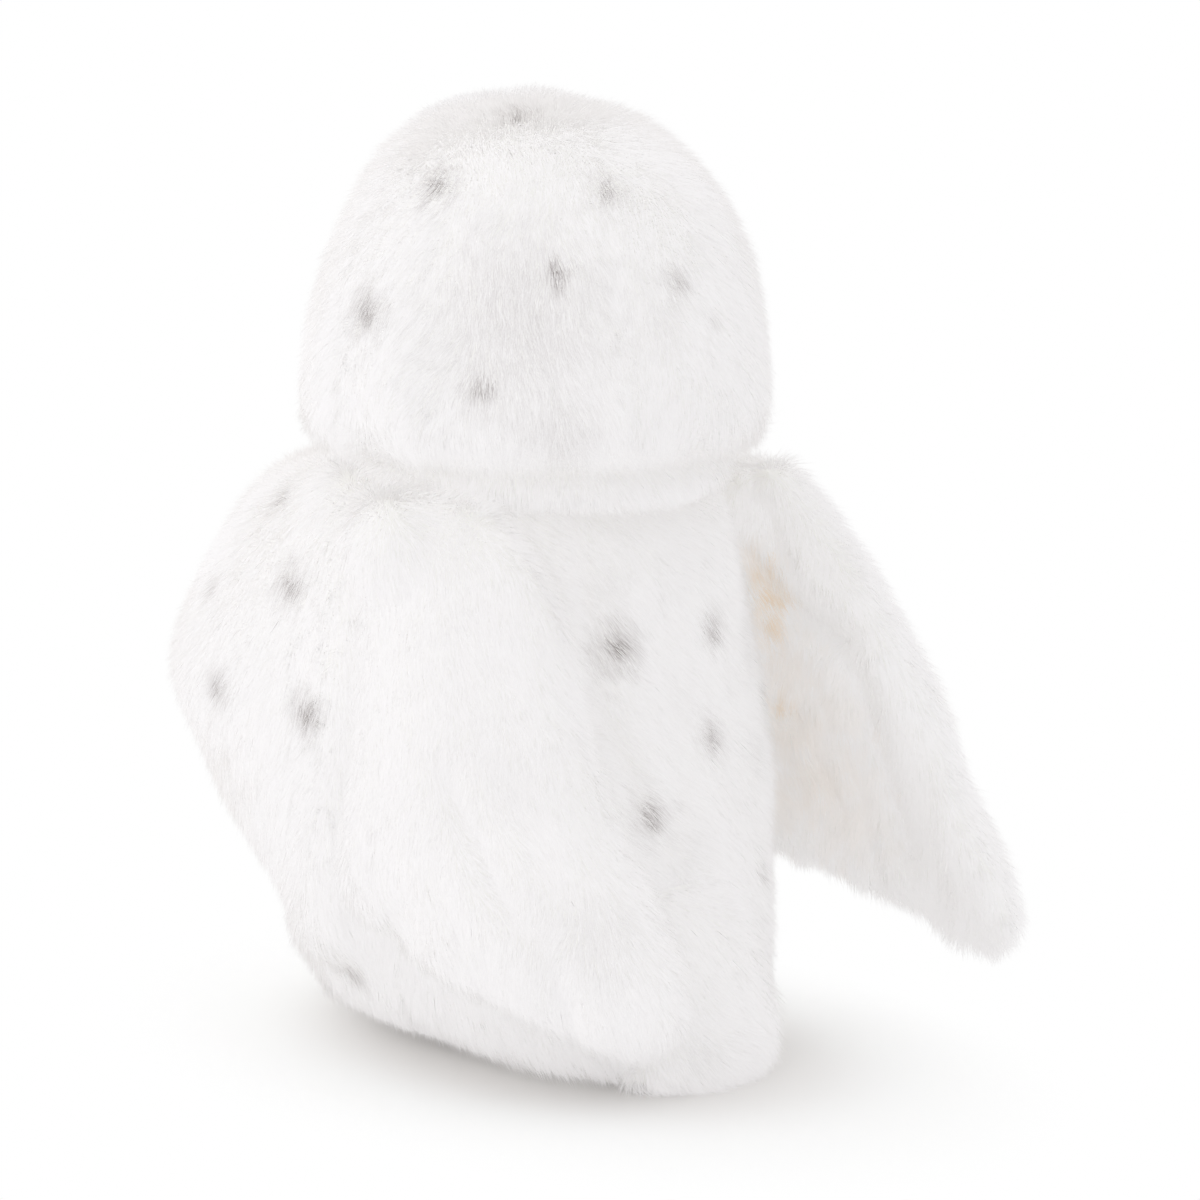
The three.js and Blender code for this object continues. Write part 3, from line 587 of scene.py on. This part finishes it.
def grow_pile(name, cover, body, comb, *, per_mm2=4.3, length=PILE_LENGTH, width=0.208 * MM, lean=(0.5, 1.1),
              inset=1 * MM, marks=(), warm_shade=(), dullest=WHITE_START, keep=None, floor=None, blend=None):
    """Covers a skin with pile, in as many pieces as its strands need."""
    others = [surface for other, surface in COVER_SURFACES.items()
              if cover.name in COVER_SURFACES and other != cover.name]
    roots, outward = roots_on(cover, per_mm2, inset, others)
    if keep is not None:
        kept = keep(roots, outward)
        roots, outward = roots[kept], outward[kept]
    bends, tips = comb_pile(roots, outward, comb, length, lean)
    tips = gather(tips)
    if floor is not None:
        for ends in (bends, tips):
            hung = floor(ends) + rng.uniform(-HANG_SPREAD, HANG_SPREAD, len(ends))
            ends[:, 2] = np.maximum(ends[:, 2], np.maximum(hung, LOWEST_TIP))
    tones = tones_of(roots, bends, tips, marks, warm_shade, dullest)
    centre = roots.mean(0)
    order = np.argsort(np.arctan2(roots[:, 1] - centre[1], roots[:, 0] - centre[0]))
    shares = math.ceil(len(order) / STRAND_LIMIT)
    for i, part in enumerate(np.array_split(order, shares)):
        part_name = name if shares == 1 else f"{name}_{i + 1}"
        mesh = strands_mesh(part_name, roots[part], bends[part], tips[part], outward[part], width,
                            tones[part])
        mesh.materials.append(white_pile)
        piece = bpy.data.objects.new(part_name, mesh)
        bpy.context.scene.collection.objects.link(piece)
        piece.visible_shadow = piece.visible_diffuse = False  # light soaks through white pile
        if blend is None:
            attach(piece, body)
        else:
            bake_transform(piece)


def finish_cover(cover, body, nodes, blend=None):
    """Dresses a stuffed skin and lets it stand for its CAD nodes, on its body or across a joint."""
    cover.data.materials.clear()
    cover.data.materials.append(backing)
    for face in cover.data.polygons:
        face.use_smooth = True
    if blend is None:
        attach(cover, body)
    else:
        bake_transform(cover)
    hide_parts(*nodes)


# ---------------------------------------------------------------- skins, with sizes in the owl's own places
BODY_NODES = ("body_cover", "body_stuffing", "pellet_bag")
HEAD_NODES = ("head_cover", "head_stuffing")
NECK_NODES = ("neck_sleeve", "neck_stuffing")
LEFT_NODES = ("left_wing_cover", "left_wing_lining", "left_wing_stuffing")
RIGHT_NODES = tuple(node.replace("left", "right") for node in LEFT_NODES)
TAIL_NODES = ("tail_cover", "tail_stuffing")
NECK_CENTRE = np.array([0, 5, 188]) * MM
NECK_BLEND = ("neck", "head", NECK_CENTRE - (0, 0, 8 * MM), NECK_CENTRE + (0, 0, 3 * MM))
# A soft lump in the top of each wing, by its centre and its radii.
RIGHT_SHOULDER = (np.array([-70, 20, 164]) * MM, np.array([12, 14, 16]) * MM)
LEFT_SHOULDER = (RIGHT_SHOULDER[0] * (-1, 1, 1), RIGHT_SHOULDER[1])
NECK_PAD_DROP, NECK_PAD_RADIUS, NECK_PAD_THICK = 5 * MM, 50 * MM, 8 * MM


def neck_rolls():
    """The pad that fills the neck, a flat disc in a soft ring."""
    bpy.ops.object.select_all(action="DESELECT")
    place = NECK_CENTRE - (0, 0, NECK_PAD_DROP)
    bpy.ops.mesh.primitive_torus_add(location=place, major_radius=NECK_PAD_RADIUS,
                                     minor_radius=NECK_PAD_THICK, major_segments=64, minor_segments=20)
    ring = bpy.context.object
    bpy.ops.object.transform_apply(location=True, rotation=True, scale=True)
    bpy.ops.mesh.primitive_cylinder_add(location=place, radius=NECK_PAD_RADIUS, depth=NECK_PAD_THICK,
                                        vertices=48)
    disc = bpy.context.object
    bpy.ops.object.transform_apply(location=True, rotation=True, scale=True)
    return ring, disc


body_skin = stuff(cover_from("body_skin", BODY_NODES + ("base_panel",), 4.5 * MM, 3), 4, 2 * MM)
head_skin = stuff(cover_from("head_skin", HEAD_NODES + ("face_panel",), 4.5 * MM, 3), 4, 2 * MM)
neck_skin = stuff(cover_from("neck_skin", NECK_NODES, 3.5 * MM, 2, rolls=neck_rolls()), 2, 1 * MM)
left_skin = stuff(cover_from("left_wing_skin", LEFT_NODES, 3.5 * MM, 2, [LEFT_SHOULDER]), 3, 1.5 * MM)
right_skin = stuff(cover_from("right_wing_skin", RIGHT_NODES, 3.5 * MM, 2, [RIGHT_SHOULDER]), 3, 1.5 * MM)
tail_skin = stuff(cover_from("tail_skin", TAIL_NODES, 3 * MM, 2), 2, 1 * MM)

# How the sewn skins hang in the photograph: pulls of (x, y, right, down, reach) in its pixels.
HEAD_PULLS_PX = [
    (390, 130, 8, 4, 50), (350, 190, 12, 0, 50), (312, 260, 9, 0, 50), (500, 82, 0, 8, 50),
    (600, 85, -6, 14, 50), (670, 115, -8, 10, 50), (715, 160, -3, 2, 45),
]
BODY_PULLS_PX = [
    (176, 735, 9, 0, 45), (197, 795, 20, 0, 50), (225, 850, 24, 0, 50), (250, 900, 18, 0, 50),
    (275, 950, 9, 0, 45), (785, 830, -7, 0, 60), (790, 920, -9, 0, 60), (790, 1010, -9, 0, 60),
]
RIGHT_PULLS_PX = [
    (817, 450, -16, 0, 50), (856, 480, -36, 4, 55), (885, 510, -44, 4, 60), (899, 545, -34, 0, 60),
    (911, 575, -25, 0, 55), (920, 605, -12, 0, 50), (935, 645, 0, 0, 50), (960, 710, 0, 0, 55),
    (999, 780, -12, 0, 55), (1020, 812, -25, 0, 60), (1040, 845, -34, 0, 60), (1051, 885, -35, 0, 60),
    (1046, 935, -28, 0, 60), (890, 915, 0, -12, 50), (1000, 958, -12, 6, 50), (810, 880, 0, -16, 45),
]
LEFT_PULLS_PX = [(347, 925, 24, -12, 35)]
drape(head_skin, HEAD_PULLS_PX)
drape(body_skin, BODY_PULLS_PX)
drape(tail_skin, BODY_PULLS_PX)
drape(left_skin, LEFT_PULLS_PX)
drape(right_skin, RIGHT_PULLS_PX)

# Creases and folds in the photograph: a line of its pixels, a width in pixels, a depth and a swell.
HEAD_CREASES = [([(607, 285), (633, 337), (651, 389), (655, 415)], 15, 1.8, 0.35)]
BODY_CREASES = [
    ([(653, 599), (647, 628), (654, 704), (665, 765), (660, 830)], 13, 1.8, 0.3),
    ([(566, 520), (580, 624), (588, 702), (612, 760), (642, 843), (690, 925), (712, 979)], 15, 2.6, 0),
    ([(432, 1027), (500, 1052)], 9, 1.5, 0),
    ([(354, 500), (360, 587), (356, 667), (348, 747), (340, 827), (336, 915)], 34, -7, 0),
]
LEFT_CREASES = [
    ([(451, 765), (471, 819), (495, 877), (515, 906), (549, 935), (573, 1003)], 12, 2.2, 0.35),
    ([(403, 891), (422, 920)], 10, 1.5, 0.3),
]
RIGHT_CREASES = [
    ([(860, 664), (875, 725), (895, 785), (911, 846)], 10, 3.4, 0.5),
    ([(850, 725), (870, 806), (880, 867)], 8, 2, 0.2),
    ([(814, 750), (845, 801)], 7, 1.6, 0.3),
    ([(769, 694), (799, 709)], 8, 2.4, 0.4),
    ([(735, 527), (774, 583), (824, 613), (850, 638)], 11, 3.4, 0.5),
]
for cover, creases in ((head_skin, HEAD_CREASES), (body_skin, BODY_CREASES), (left_skin, LEFT_CREASES),
                       (right_skin, RIGHT_CREASES)):
    for line_px, width_px, depth_mm, swell in creases:
        press_crease(cover, line_px, width_px, depth_mm * MM, swell)


BASE_MIDDLE = np.array([0, 20]) * MM
HEM_TUCK, HEM_TUCK_HEIGHT = 0.24, 10 * MM
HEM_AT_TAIL, HEM_RISE = 1 * MM, 6 * MM


def tuck_hem(cover):
    """Rolls the lowest part of a skin in under the toy, towards the middle of its base, but not the tail."""
    points = points_of(cover)
    low = 1 - ease(points[:, 2], 0, HEM_TUCK_HEIGHT)
    before_tail = 1 - ease(points[:, 1], 50 * MM, 85 * MM)
    share = 1 - HEM_TUCK * low * before_tail
    points[:, :2] = BASE_MIDDLE + (points[:, :2] - BASE_MIDDLE) * share[:, None]
    put_points(cover, points)


def hem_height(points):
    """The pile hangs to just over the floor at the tail, and a little higher where the hem rolls under."""
    return HEM_AT_TAIL + HEM_RISE * (1 - ease(points[:, 1], -10 * MM, 75 * MM))


# The face: a patch of its own, dished a little, with short pile.
HEAD_TURN = math.radians(-38)
FACE_HALF_WIDTH, FACE_HALF_HEIGHT, FACE_RISE = 46 * MM, 36 * MM, 55 * MM
BROW_DIP, BROW_WIDTH = 0.24, 14 * MM
FACE_DISH = 2.5 * MM
PATCH_RISE, PATCH_THICK = 0.8, 2  # mm
NOT_FACE = 9  # a face share for what lies behind


def to_head(points):
    """From the part's frame to the head's own: x to its left, y behind and z up, from the neck's centre."""
    off = points - NECK_CENTRE
    c, s = math.cos(HEAD_TURN), math.sin(HEAD_TURN)
    return np.stack([c * off[:, 0] + s * off[:, 1], c * off[:, 1] - s * off[:, 0], off[:, 2]], 1)


def face_share(points):
    """0 in the middle of the face, 1 at its heart-shaped outline, and more beyond and behind."""
    x, y, z = to_head(points).T
    up = (z - FACE_RISE) / FACE_HALF_HEIGHT
    rim = 1 - BROW_DIP * np.exp(-((x / BROW_WIDTH) ** 2)) * (up > 0)
    return np.where(y < 0, np.hypot(x / FACE_HALF_WIDTH, up) / rim, NOT_FACE)


def dish_face(cover):
    """Presses the face in a little within its outline."""
    points = points_of(cover)
    depth = FACE_DISH * (1 - ease(face_share(points), 0.6, 1.05))
    put_points(cover, points - normals_of(cover) * depth[:, None])


def face_patch(head):
    """The part of the head's skin within the face's outline, as a padded patch laid on it."""
    patch = bmesh.new()
    patch.from_mesh(head.data)
    centres = np.array([face.calc_center_median() for face in patch.faces])
    outside = face_share(centres) > 0.97
    dropped = [face for face, out in zip(list(patch.faces), outside) if out]
    bmesh.ops.delete(patch, geom=dropped, context="FACES")
    for vert in patch.verts:
        vert.co += vert.normal * PATCH_RISE * MM
    mesh = bpy.data.meshes.new("face_skin")
    patch.to_mesh(mesh)
    patch.free()
    made = bpy.data.objects.new("face_skin", mesh)
    bpy.context.scene.collection.objects.link(made)
    wall = made.modifiers.new("wall", "SOLIDIFY")
    wall.thickness, wall.offset = PATCH_THICK * MM, -1
    apply_all(made)
    return made


dish_face(head_skin)
face_skin = face_patch(head_skin)

FOOT_RISE = 0.4 * MM  # over the floor


def plush_foot(side):
    """A stuffed foot, flat underneath."""
    foot = stuff(cover_from(side + "_foot_skin", (side + "_foot",), 1.5 * MM, 2), 1, 0.5 * MM)
    points = points_of(foot)
    points[:, 2] = np.maximum(points[:, 2], FOOT_RISE)
    put_points(foot, points)
    return foot


left_foot, right_foot = plush_foot("left"), plush_foot("right")
PANEL_SQUARENESS = 2.6  # 2 is an oval
ABOVE_PANEL, ABOVE_FLOOR = 1 * MM, 0.3 * MM


def sink_base(cover):
    """Lifts the skin's underside off the base panel, within its outline, and off the floor beside it."""
    low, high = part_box("base_panel")
    middle, half = (np.array(low) + high)[:2] / 2, (np.array(high) - low)[:2] / 2
    points = points_of(cover)
    inside = (np.abs((points[:, :2] - middle) / half) ** PANEL_SQUARENESS).sum(1) < 1.05
    top = high[2] + ABOVE_PANEL
    points[:, 2] = np.where(inside & (points[:, 2] < top), top, points[:, 2])
    points[:, 2] = np.maximum(points[:, 2], ABOVE_FLOOR)
    put_points(cover, points)


tuck_hem(body_skin)
sink_base(body_skin)
finish_cover(body_skin, "torso", BODY_NODES)
finish_cover(head_skin, "head", HEAD_NODES)
finish_cover(neck_skin, "neck", NECK_NODES, NECK_BLEND)
finish_cover(left_skin, "left_wing", LEFT_NODES)
finish_cover(right_skin, "right_wing", RIGHT_NODES)
finish_cover(tail_skin, "torso", TAIL_NODES)
finish_cover(face_skin, "head", ("face_panel",))
finish_cover(left_foot, "torso", ("left_foot",))
finish_cover(right_foot, "torso", ("right_foot",))


# ---------------------------------------------------------------- sprayed marks and painted shade
def surface_of(*pieces):
    """One tree of faces, to cast rays at."""
    points, faces = [], []
    for piece in pieces:
        start = len(points)
        points += [vert.co.copy() for vert in piece.data.vertices]
        faces += [[start + i for i in face.vertices] for face in piece.data.polygons]
    return BVHTree.FromPolygons(points, faces)


COVER_SURFACES = {cover.name: surface_of(cover)
                  for cover in (body_skin, head_skin, neck_skin, left_skin, right_skin, tail_skin)}
PILE_RISE = 4.5 * MM  # from a cover to the middle of its pile
RAY_START = 0.4  # metres out from the owl's axis


def spot(place, size, strength):
    """A sprayed spot: a small dark core in a wide faint halo."""
    return [(place, 0.8 * size * MM, strength), (place, 1.9 * size * MM, 0.3 * strength)]


def cloud(place, size, strength):
    """A soft patch of one strength."""
    return [(place, size * MM, strength)]


def marks_at(surface, spots, marked=spot):
    """Marks, each at the pile over the cover that a photograph pixel shows."""
    found = []
    for x, y, size, strength in spots:
        hit, normal, _, _ = surface.ray_cast(Vector(EYE_POINT), photo_ray((x, y)))
        if hit is not None:
            found += marked(np.array(hit + normal * PILE_RISE), size, strength)
    return found


def marks_round(surface, spots, axis):
    """Spots where the photograph doesn't look, by an angle round an upright axis and a height in mm."""
    found = []
    for angle, height, size, strength in spots:
        way = Vector((math.cos(math.radians(angle)), math.sin(math.radians(angle)), 0))
        start = Vector((axis[0], axis[1], height * MM)) + way * RAY_START
        hit, normal, _, _ = surface.ray_cast(start, -way)
        if hit is not None:
            found += spot(np.array(hit + normal * PILE_RISE), size, strength)
    return found


# Spots in the photograph: x and y in its pixels, size in millimetres and strength.
HEAD_SPOTS_PX = [
    (443, 193, 4.4, 1), (603, 198, 4.2, 0.75), (518, 125, 4.6, 0.7), (377, 315, 4.6, 1),
    (557, 277, 4, 0.85), (668, 287, 3.8, 0.7), (484, 389, 4.4, 0.8), (703, 323, 3, 0.35),
    (352, 248, 2.5, 0.25),
]
BODY_SPOTS_PX = [
    (301, 588, 4.4, 0.95), (318, 716, 4.4, 0.95), (229, 688, 4.2, 0.85), (221, 595, 3.6, 0.6),
    (289, 507, 3.6, 0.55), (206, 557, 3.4, 0.5), (273, 475, 3, 0.45), (359, 964, 4, 0.7),
    (357, 629, 2.5, 0.2), (379, 833, 2.5, 0.2), (190, 600, 3, 0.35),
    (614, 649, 4.8, 1), (700, 629, 3.8, 0.8), (701, 739, 4.2, 0.75), (643, 816, 4.4, 0.8),
    (748, 696, 3.6, 0.5), (761, 793, 3.6, 0.4), (751, 874, 4, 0.4), (653, 600, 2.5, 0.2),
]
# Soft patches of painted shade over the middle and the lower back of the head; on the body soft greyish
# patches, with painted shade along the hem; and the warm painted shade of the armpit, in the same way.
HEAD_PAINTED_SHADE_PX = [
    (655, 330, 13, 0.08), (517, 320, 34, 0.16), (690, 260, 11, 0.05), (560, 425, 15, 0.14),
    (540, 160, 22, 0.05),
]
# Along the hem, from (420, 1012) to (700, 1060) and at (330, 985), the marks are painted shade; the rest are
# soft greyish patches.
BODY_PATCHES_AND_PAINTED_SHADE_PX = [
    (735, 640, 11, 0.1), (745, 760, 12, 0.1), (600, 590, 12, 0.07), (675, 700, 12, 0.05),
    (690, 850, 12, 0.06), (760, 900, 10, 0.08), (620, 540, 10, 0.05), (420, 1012, 7, 0.12),
    (470, 1035, 7, 0.16),
    (520, 1052, 7, 0.18), (570, 1070, 7, 0.16), (330, 985, 8, 0.08), (700, 1060, 9, 0.08),
    (450, 545, 18, 0.06), (600, 940, 18, 0.08), (510, 800, 16, 0.05),
]
# Warm painted shade: the cream in the armpit and on the shaded inside of the right wing.
WARM_SHADE_PX = [
    (746, 545, 5, 0.8), (752, 565, 5.5, 1.4), (758, 588, 6, 1.7), (765, 612, 5.5, 1.3),
    (774, 636, 5, 0.7), (783, 706, 4.5, 1.4), (770, 690, 4.5, 0.7), (790, 660, 11, 0.22),
    (790, 720, 13, 0.25), (815, 770, 13, 0.25), (850, 810, 12, 0.16), (835, 700, 10, 0.14),
    (775, 780, 10, 0.2), (870, 720, 4, 0.3), (885, 780, 4, 0.25),
]
# Spots on the front, which isn't in the photograph: angle, height, size and strength.
CHEST_AXIS = (0, -0.015)
CHEST_SPOTS = [
    (205, 150, 4.4, 0.8), (214, 96, 4.2, 0.7), (230, 128, 4.4, 0.9), (243, 72, 4, 0.7), (250, 156, 4.2, 0.8),
    (262, 104, 4.6, 0.9), (272, 62, 4, 0.6), (279, 136, 4.4, 0.9), (190, 118, 4, 0.6), (196, 70, 4, 0.6),
]
CROWN_SPOTS = [
    (140, 236, 4, 0.7), (152, 262, 4, 0.8), (163, 216, 3.8, 0.6), (178, 272, 4, 0.7), (300, 262, 4, 0.8),
    (295, 222, 4, 0.6), (316, 240, 4, 0.7), (245, 284, 3.6, 0.6), (222, 288, 3.6, 0.5),
]
head_surface, body_surface = COVER_SURFACES["head_skin"], surface_of(body_skin, left_skin, tail_skin)
head_marks = (marks_at(head_surface, HEAD_SPOTS_PX) + marks_at(head_surface, HEAD_PAINTED_SHADE_PX, cloud)
              + marks_round(head_surface, CROWN_SPOTS, NECK_CENTRE))
body_marks = (marks_at(body_surface, BODY_SPOTS_PX) + marks_at(body_surface, BODY_PATCHES_AND_PAINTED_SHADE_PX, cloud)
              + marks_round(COVER_SURFACES["body_skin"], CHEST_SPOTS, CHEST_AXIS))
warm_shade_marks = (marks_at(COVER_SURFACES["right_wing_skin"], WARM_SHADE_PX, cloud)
         + marks_at(COVER_SURFACES["body_skin"], WARM_SHADE_PX, cloud))


# ---------------------------------------------------------------- combing
def comb_body(points):
    """Down the body, and over the back a little toward the owl's right."""
    behind = ease(points[:, 1], 0, 45 * MM)
    return np.stack([-0.45 * behind, np.full(len(points), 0.25), np.full(len(points), -1.0)], 1)


WHORL = np.array([0.006, -0.008, 0.296])  # on top of the head, towards the face
WHORL_REACH = 60 * MM


def past_whorl(points):
    """0 at the whorl, where the pile stands up, and 1 past its reach."""
    return ease(np.linalg.norm(points - WHORL, axis=1), 0, WHORL_REACH)


def comb_head(points):
    """Outward from the whorl on the crown, and down."""
    away = points - WHORL
    return unit(unit(away) + np.array([0, 0, -0.35])) * (0.5 + 0.5 * past_whorl(points)[:, None])


def comb_face(points):
    """Outward over the face from the root of the beak."""
    x, y, z = to_head(points).T
    c, s = math.cos(HEAD_TURN), math.sin(HEAD_TURN)
    return unit(np.stack([c * x, s * x, z - 0.8 * FACE_RISE], 1))


def comb_straight(way):
    """All one way."""
    way = np.array(way, float)
    return lambda points: np.broadcast_to(way, points.shape)


# ---------------------------------------------------------------- where the pile grows, and how long
def bears_pile(roots, outward):
    """All but the underside, which the base panel covers, and what the hem has rolled under."""
    under = (outward[:, 2] < -0.75) & (roots[:, 2] < 10 * MM)
    return ~under & (roots[:, 2] > 0.45 * hem_height(roots))


def head_length(roots, outward):
    """The pile is longer at the head's lower rim, over the neck, and short where it stands at the whorl."""
    rim = ease(-outward[:, 2], -0.1, 0.6) * ease(-roots[:, 2], -0.215, -0.2)
    return PILE_LENGTH * (1 + 0.3 * rim - 0.3 * (1 - past_whorl(roots)))


def eye_axis(node):
    """The middle of an eye and its axis, from its own points: across its axis, it is as wide both ways."""
    points = points_of(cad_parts[node])
    middle = points.mean(0)
    _, spread, ways = np.linalg.svd(points - middle, full_matrices=False)
    axis = ways[2] if spread[0] - spread[1] < spread[1] - spread[2] else ways[0]
    return middle, axis


EYES = {side: eye_axis(side + "_eye") for side in ("left", "right")}
beak_points = points_of(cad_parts["beak"])
BEAK_ROOT = beak_points[beak_points[:, 2] > np.quantile(beak_points[:, 2], 0.6)].mean(0)
BEAK_CLEAR, EYE_CLEAR = 7 * MM, 0.6 * MM
AHEAD = np.array([math.sin(HEAD_TURN), -math.cos(HEAD_TURN), 0])  # the way the face looks


def clear_of_features(roots, outward):
    """Short pile grows on the outer side of the face patch only, and stops round the eyes and the beak."""
    clear = np.linalg.norm(roots - BEAK_ROOT, axis=1) > BEAK_CLEAR
    for middle, axis in EYES.values():
        clear &= np.linalg.norm(np.cross(roots - middle, axis), axis=1) > EYE_RADIUS + EYE_CLEAR
    return clear & (outward @ AHEAD > 0.1)


def off_face(roots, outward):
    return face_share(roots) > 0.98


def outside_neck(roots, outward):
    """The rim of the neck's pad, which is all of it that can show."""
    return np.linalg.norm(roots[:, :2] - NECK_CENTRE[:2], axis=1) > NECK_PAD_RADIUS - 2 * MM


def upper_foot(roots, outward):
    return roots[:, 2] > 1.5 * MM


grow_pile("body_fur", body_skin, "torso", comb_body, marks=body_marks, warm_shade=warm_shade_marks, floor=hem_height,
          keep=bears_pile)
grow_pile("head_fur", head_skin, "head", comb_head, length=head_length, marks=head_marks,
          keep=off_face)
grow_pile("face_fur", face_skin, "head", comb_face, length=5 * MM, width=0.16 * MM, lean=(0.7, 1.25),
          per_mm2=6, keep=clear_of_features)
grow_pile("neck_fur", neck_skin, "neck", comb_head, length=9 * MM, blend=NECK_BLEND, keep=outside_neck)
grow_pile("left_wing_fur", left_skin, "left_wing", comb_straight((-0.1, 0.3, -1)), marks=body_marks)
# The right wing's pile is kept whiter than the rest: painted light against the shade on its inner side.
grow_pile("right_wing_fur", right_skin, "right_wing", comb_straight((-0.2, 0.15, -1)), warm_shade=warm_shade_marks,
          dullest=0.27)
grow_pile("tail_fur", tail_skin, "torso", comb_straight((-0.2, 0.2, -1)), marks=body_marks,
          floor=hem_height)
for side, foot in (("left", left_foot), ("right", right_foot)):
    grow_pile(side + "_foot_fur", foot, "torso", comb_straight((0, -1, -0.3)), length=3 * MM,
              width=0.14 * MM, per_mm2=8, inset=0.3 * MM,
              floor=lambda points: FOOT_RISE, keep=upper_foot)


# ---------------------------------------------------------------- eyes, beak, claws, washers and base cloth
def dress(node, made):
    """Gives a CAD node that shows its material."""
    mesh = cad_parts[node].data
    mesh.materials.clear()
    mesh.materials.append(made)


for side in ("left", "right"):
    eye = side + "_eye"
    dress(eye, eye_material(eye + "_glass", *EYES[side]))
    dress(eye + "_washer", nylon)
    for toe in ("inner", "middle", "outer"):
        dress(f"{side}_{toe}_claw", horn)
dress("beak", horn)
dress("base_panel", base_cloth)

# ---------------------------------------------------------------- studio
WORLD_LEVEL = 0.955
CAMERA_LEFT = Vector((CAMERA_BACK.y, -CAMERA_BACK.x, 0))
WORLD_TILT = CAMERA_BACK * -0.145 + CAMERA_LEFT * 0.03  # the backdrop shines more than the room before it


def set_world():
    """A white room, a little brighter behind the owl, and plain white where the camera sees it."""
    world = bpy.data.worlds.new("studio")
    bpy.context.scene.world = world
    world.use_nodes = True
    tree = world.node_tree
    tree.nodes.clear()
    out = tree.nodes.new("ShaderNodeOutputWorld")
    light, shown = tree.nodes.new("ShaderNodeBackground"), tree.nodes.new("ShaderNodeBackground")
    way = tree.nodes.new("ShaderNodeTexCoord")
    tilt = tree.nodes.new("ShaderNodeVectorMath")
    tilt.operation = "DOT_PRODUCT"
    tilt.inputs[1].default_value = WORLD_TILT
    tree.links.new(way.outputs["Generated"], tilt.inputs[0])
    level = tree.nodes.new("ShaderNodeMath")
    level.inputs[1].default_value = WORLD_LEVEL
    tree.links.new(tilt.outputs["Value"], level.inputs[0])
    tree.links.new(level.outputs["Value"], light.inputs["Strength"])
    shown.inputs["Strength"].default_value = 1
    for background in (light, shown):
        background.inputs["Color"].default_value = (1, 1, 1, 1)
    path = tree.nodes.new("ShaderNodeLightPath")
    mix = tree.nodes.new("ShaderNodeMixShader")
    tree.links.new(path.outputs["Is Camera Ray"], mix.inputs["Fac"])
    tree.links.new(light.outputs[0], mix.inputs[1])
    tree.links.new(shown.outputs[0], mix.inputs[2])
    tree.links.new(mix.outputs[0], out.inputs["Surface"])


LAMP_AIM = Vector((0, 0, 0.14))


def add_lamp(name, place, power, size):
    data = bpy.data.lights.new(name, "AREA")
    data.energy, data.size = power, size
    lamp = bpy.data.objects.new(name, data)
    bpy.context.scene.collection.objects.link(lamp)
    lamp.location = place
    aim = LAMP_AIM - Vector(place)
    lamp.rotation_mode = "QUATERNION"
    lamp.rotation_quaternion = aim.to_track_quat("-Z", "Y")


BASE_SCALE, BASE_SHIFT = (1, 0.65, 1), (0, -0.012, 0)  # turns the base's oval outline into a circle
# The floor's colour is darker near the base: a painted shadow, as the pile casts none.
FLOOR_PAINTED_SHADOW, FLOOR_COLOUR = (0.88, 0.865, 0.86), (0.97, 0.97, 0.97)
FLOOR_RADIUS = 6
# From the base's middle, in that circle, the painted shadow in the floor's colour ends over the first of
# these lengths, and the floor turns plain white for the camera over the second.
PAINTED_SHADOW_REACH, WHITE_REACH = (0.05, 0.085), (0.052, 0.125)


def add_floor():
    """A pale floor that keeps the owl's shadow, with a painted shadow that darkens its colour near the base,
    and fades to white for the camera around it.
    """
    bpy.ops.object.select_all(action="DESELECT")
    bpy.ops.mesh.primitive_circle_add(vertices=96, radius=FLOOR_RADIUS, fill_type="NGON")
    floor = bpy.context.object
    floor.name = "floor"
    made, tree, shader = new_material("studio_floor", 0.9, 0.1)
    place = tree.nodes.new("ShaderNodeTexCoord")
    about = tree.nodes.new("ShaderNodeVectorMath")
    about.operation = "MULTIPLY_ADD"
    about.inputs[1].default_value = BASE_SCALE
    about.inputs[2].default_value = BASE_SHIFT
    tree.links.new(place.outputs["Object"], about.inputs[0])
    far = tree.nodes.new("ShaderNodeVectorMath")
    far.operation = "LENGTH"
    tree.links.new(about.outputs["Vector"], far.inputs[0])
    fade = tree.nodes.new("ShaderNodeMapRange")
    fade.interpolation_type = "SMOOTHSTEP"
    fade.inputs["From Min"].default_value, fade.inputs["From Max"].default_value = WHITE_REACH
    fade.inputs["To Min"].default_value = 0
    tree.links.new(far.outputs["Value"], fade.inputs["Value"])
    path = tree.nodes.new("ShaderNodeLightPath")
    seen = tree.nodes.new("ShaderNodeMath")
    seen.operation = "MULTIPLY"
    tree.links.new(fade.outputs["Result"], seen.inputs[0])
    tree.links.new(path.outputs["Is Camera Ray"], seen.inputs[1])
    near = tree.nodes.new("ShaderNodeMapRange")  # stands for the strands' shade, as they cast no shadow
    near.interpolation_type = "SMOOTHSTEP"
    near.inputs["From Min"].default_value, near.inputs["From Max"].default_value = PAINTED_SHADOW_REACH
    tree.links.new(far.outputs["Value"], near.inputs["Value"])
    shade = add_ramp(tree, [(0, FLOOR_PAINTED_SHADOW), (1, FLOOR_COLOUR)], near.outputs["Result"])
    tree.links.new(shade.outputs["Color"], shader.inputs["Base Color"])
    white = tree.nodes.new("ShaderNodeEmission")
    white.inputs["Strength"].default_value = 1
    mix = tree.nodes.new("ShaderNodeMixShader")
    tree.links.new(seen.outputs[0], mix.inputs["Fac"])
    tree.links.new(shader.outputs[0], mix.inputs[1])
    tree.links.new(white.outputs[0], mix.inputs[2])
    tree.links.new(mix.outputs[0], tree.nodes["Material Output"].inputs["Surface"])
    floor.data.materials.append(made)


set_world()
add_lamp("key", (1.1, -0.3, 1.2), 2.2, 1.0)
add_floor()
bpy.context.scene.view_settings.view_transform = "Standard"
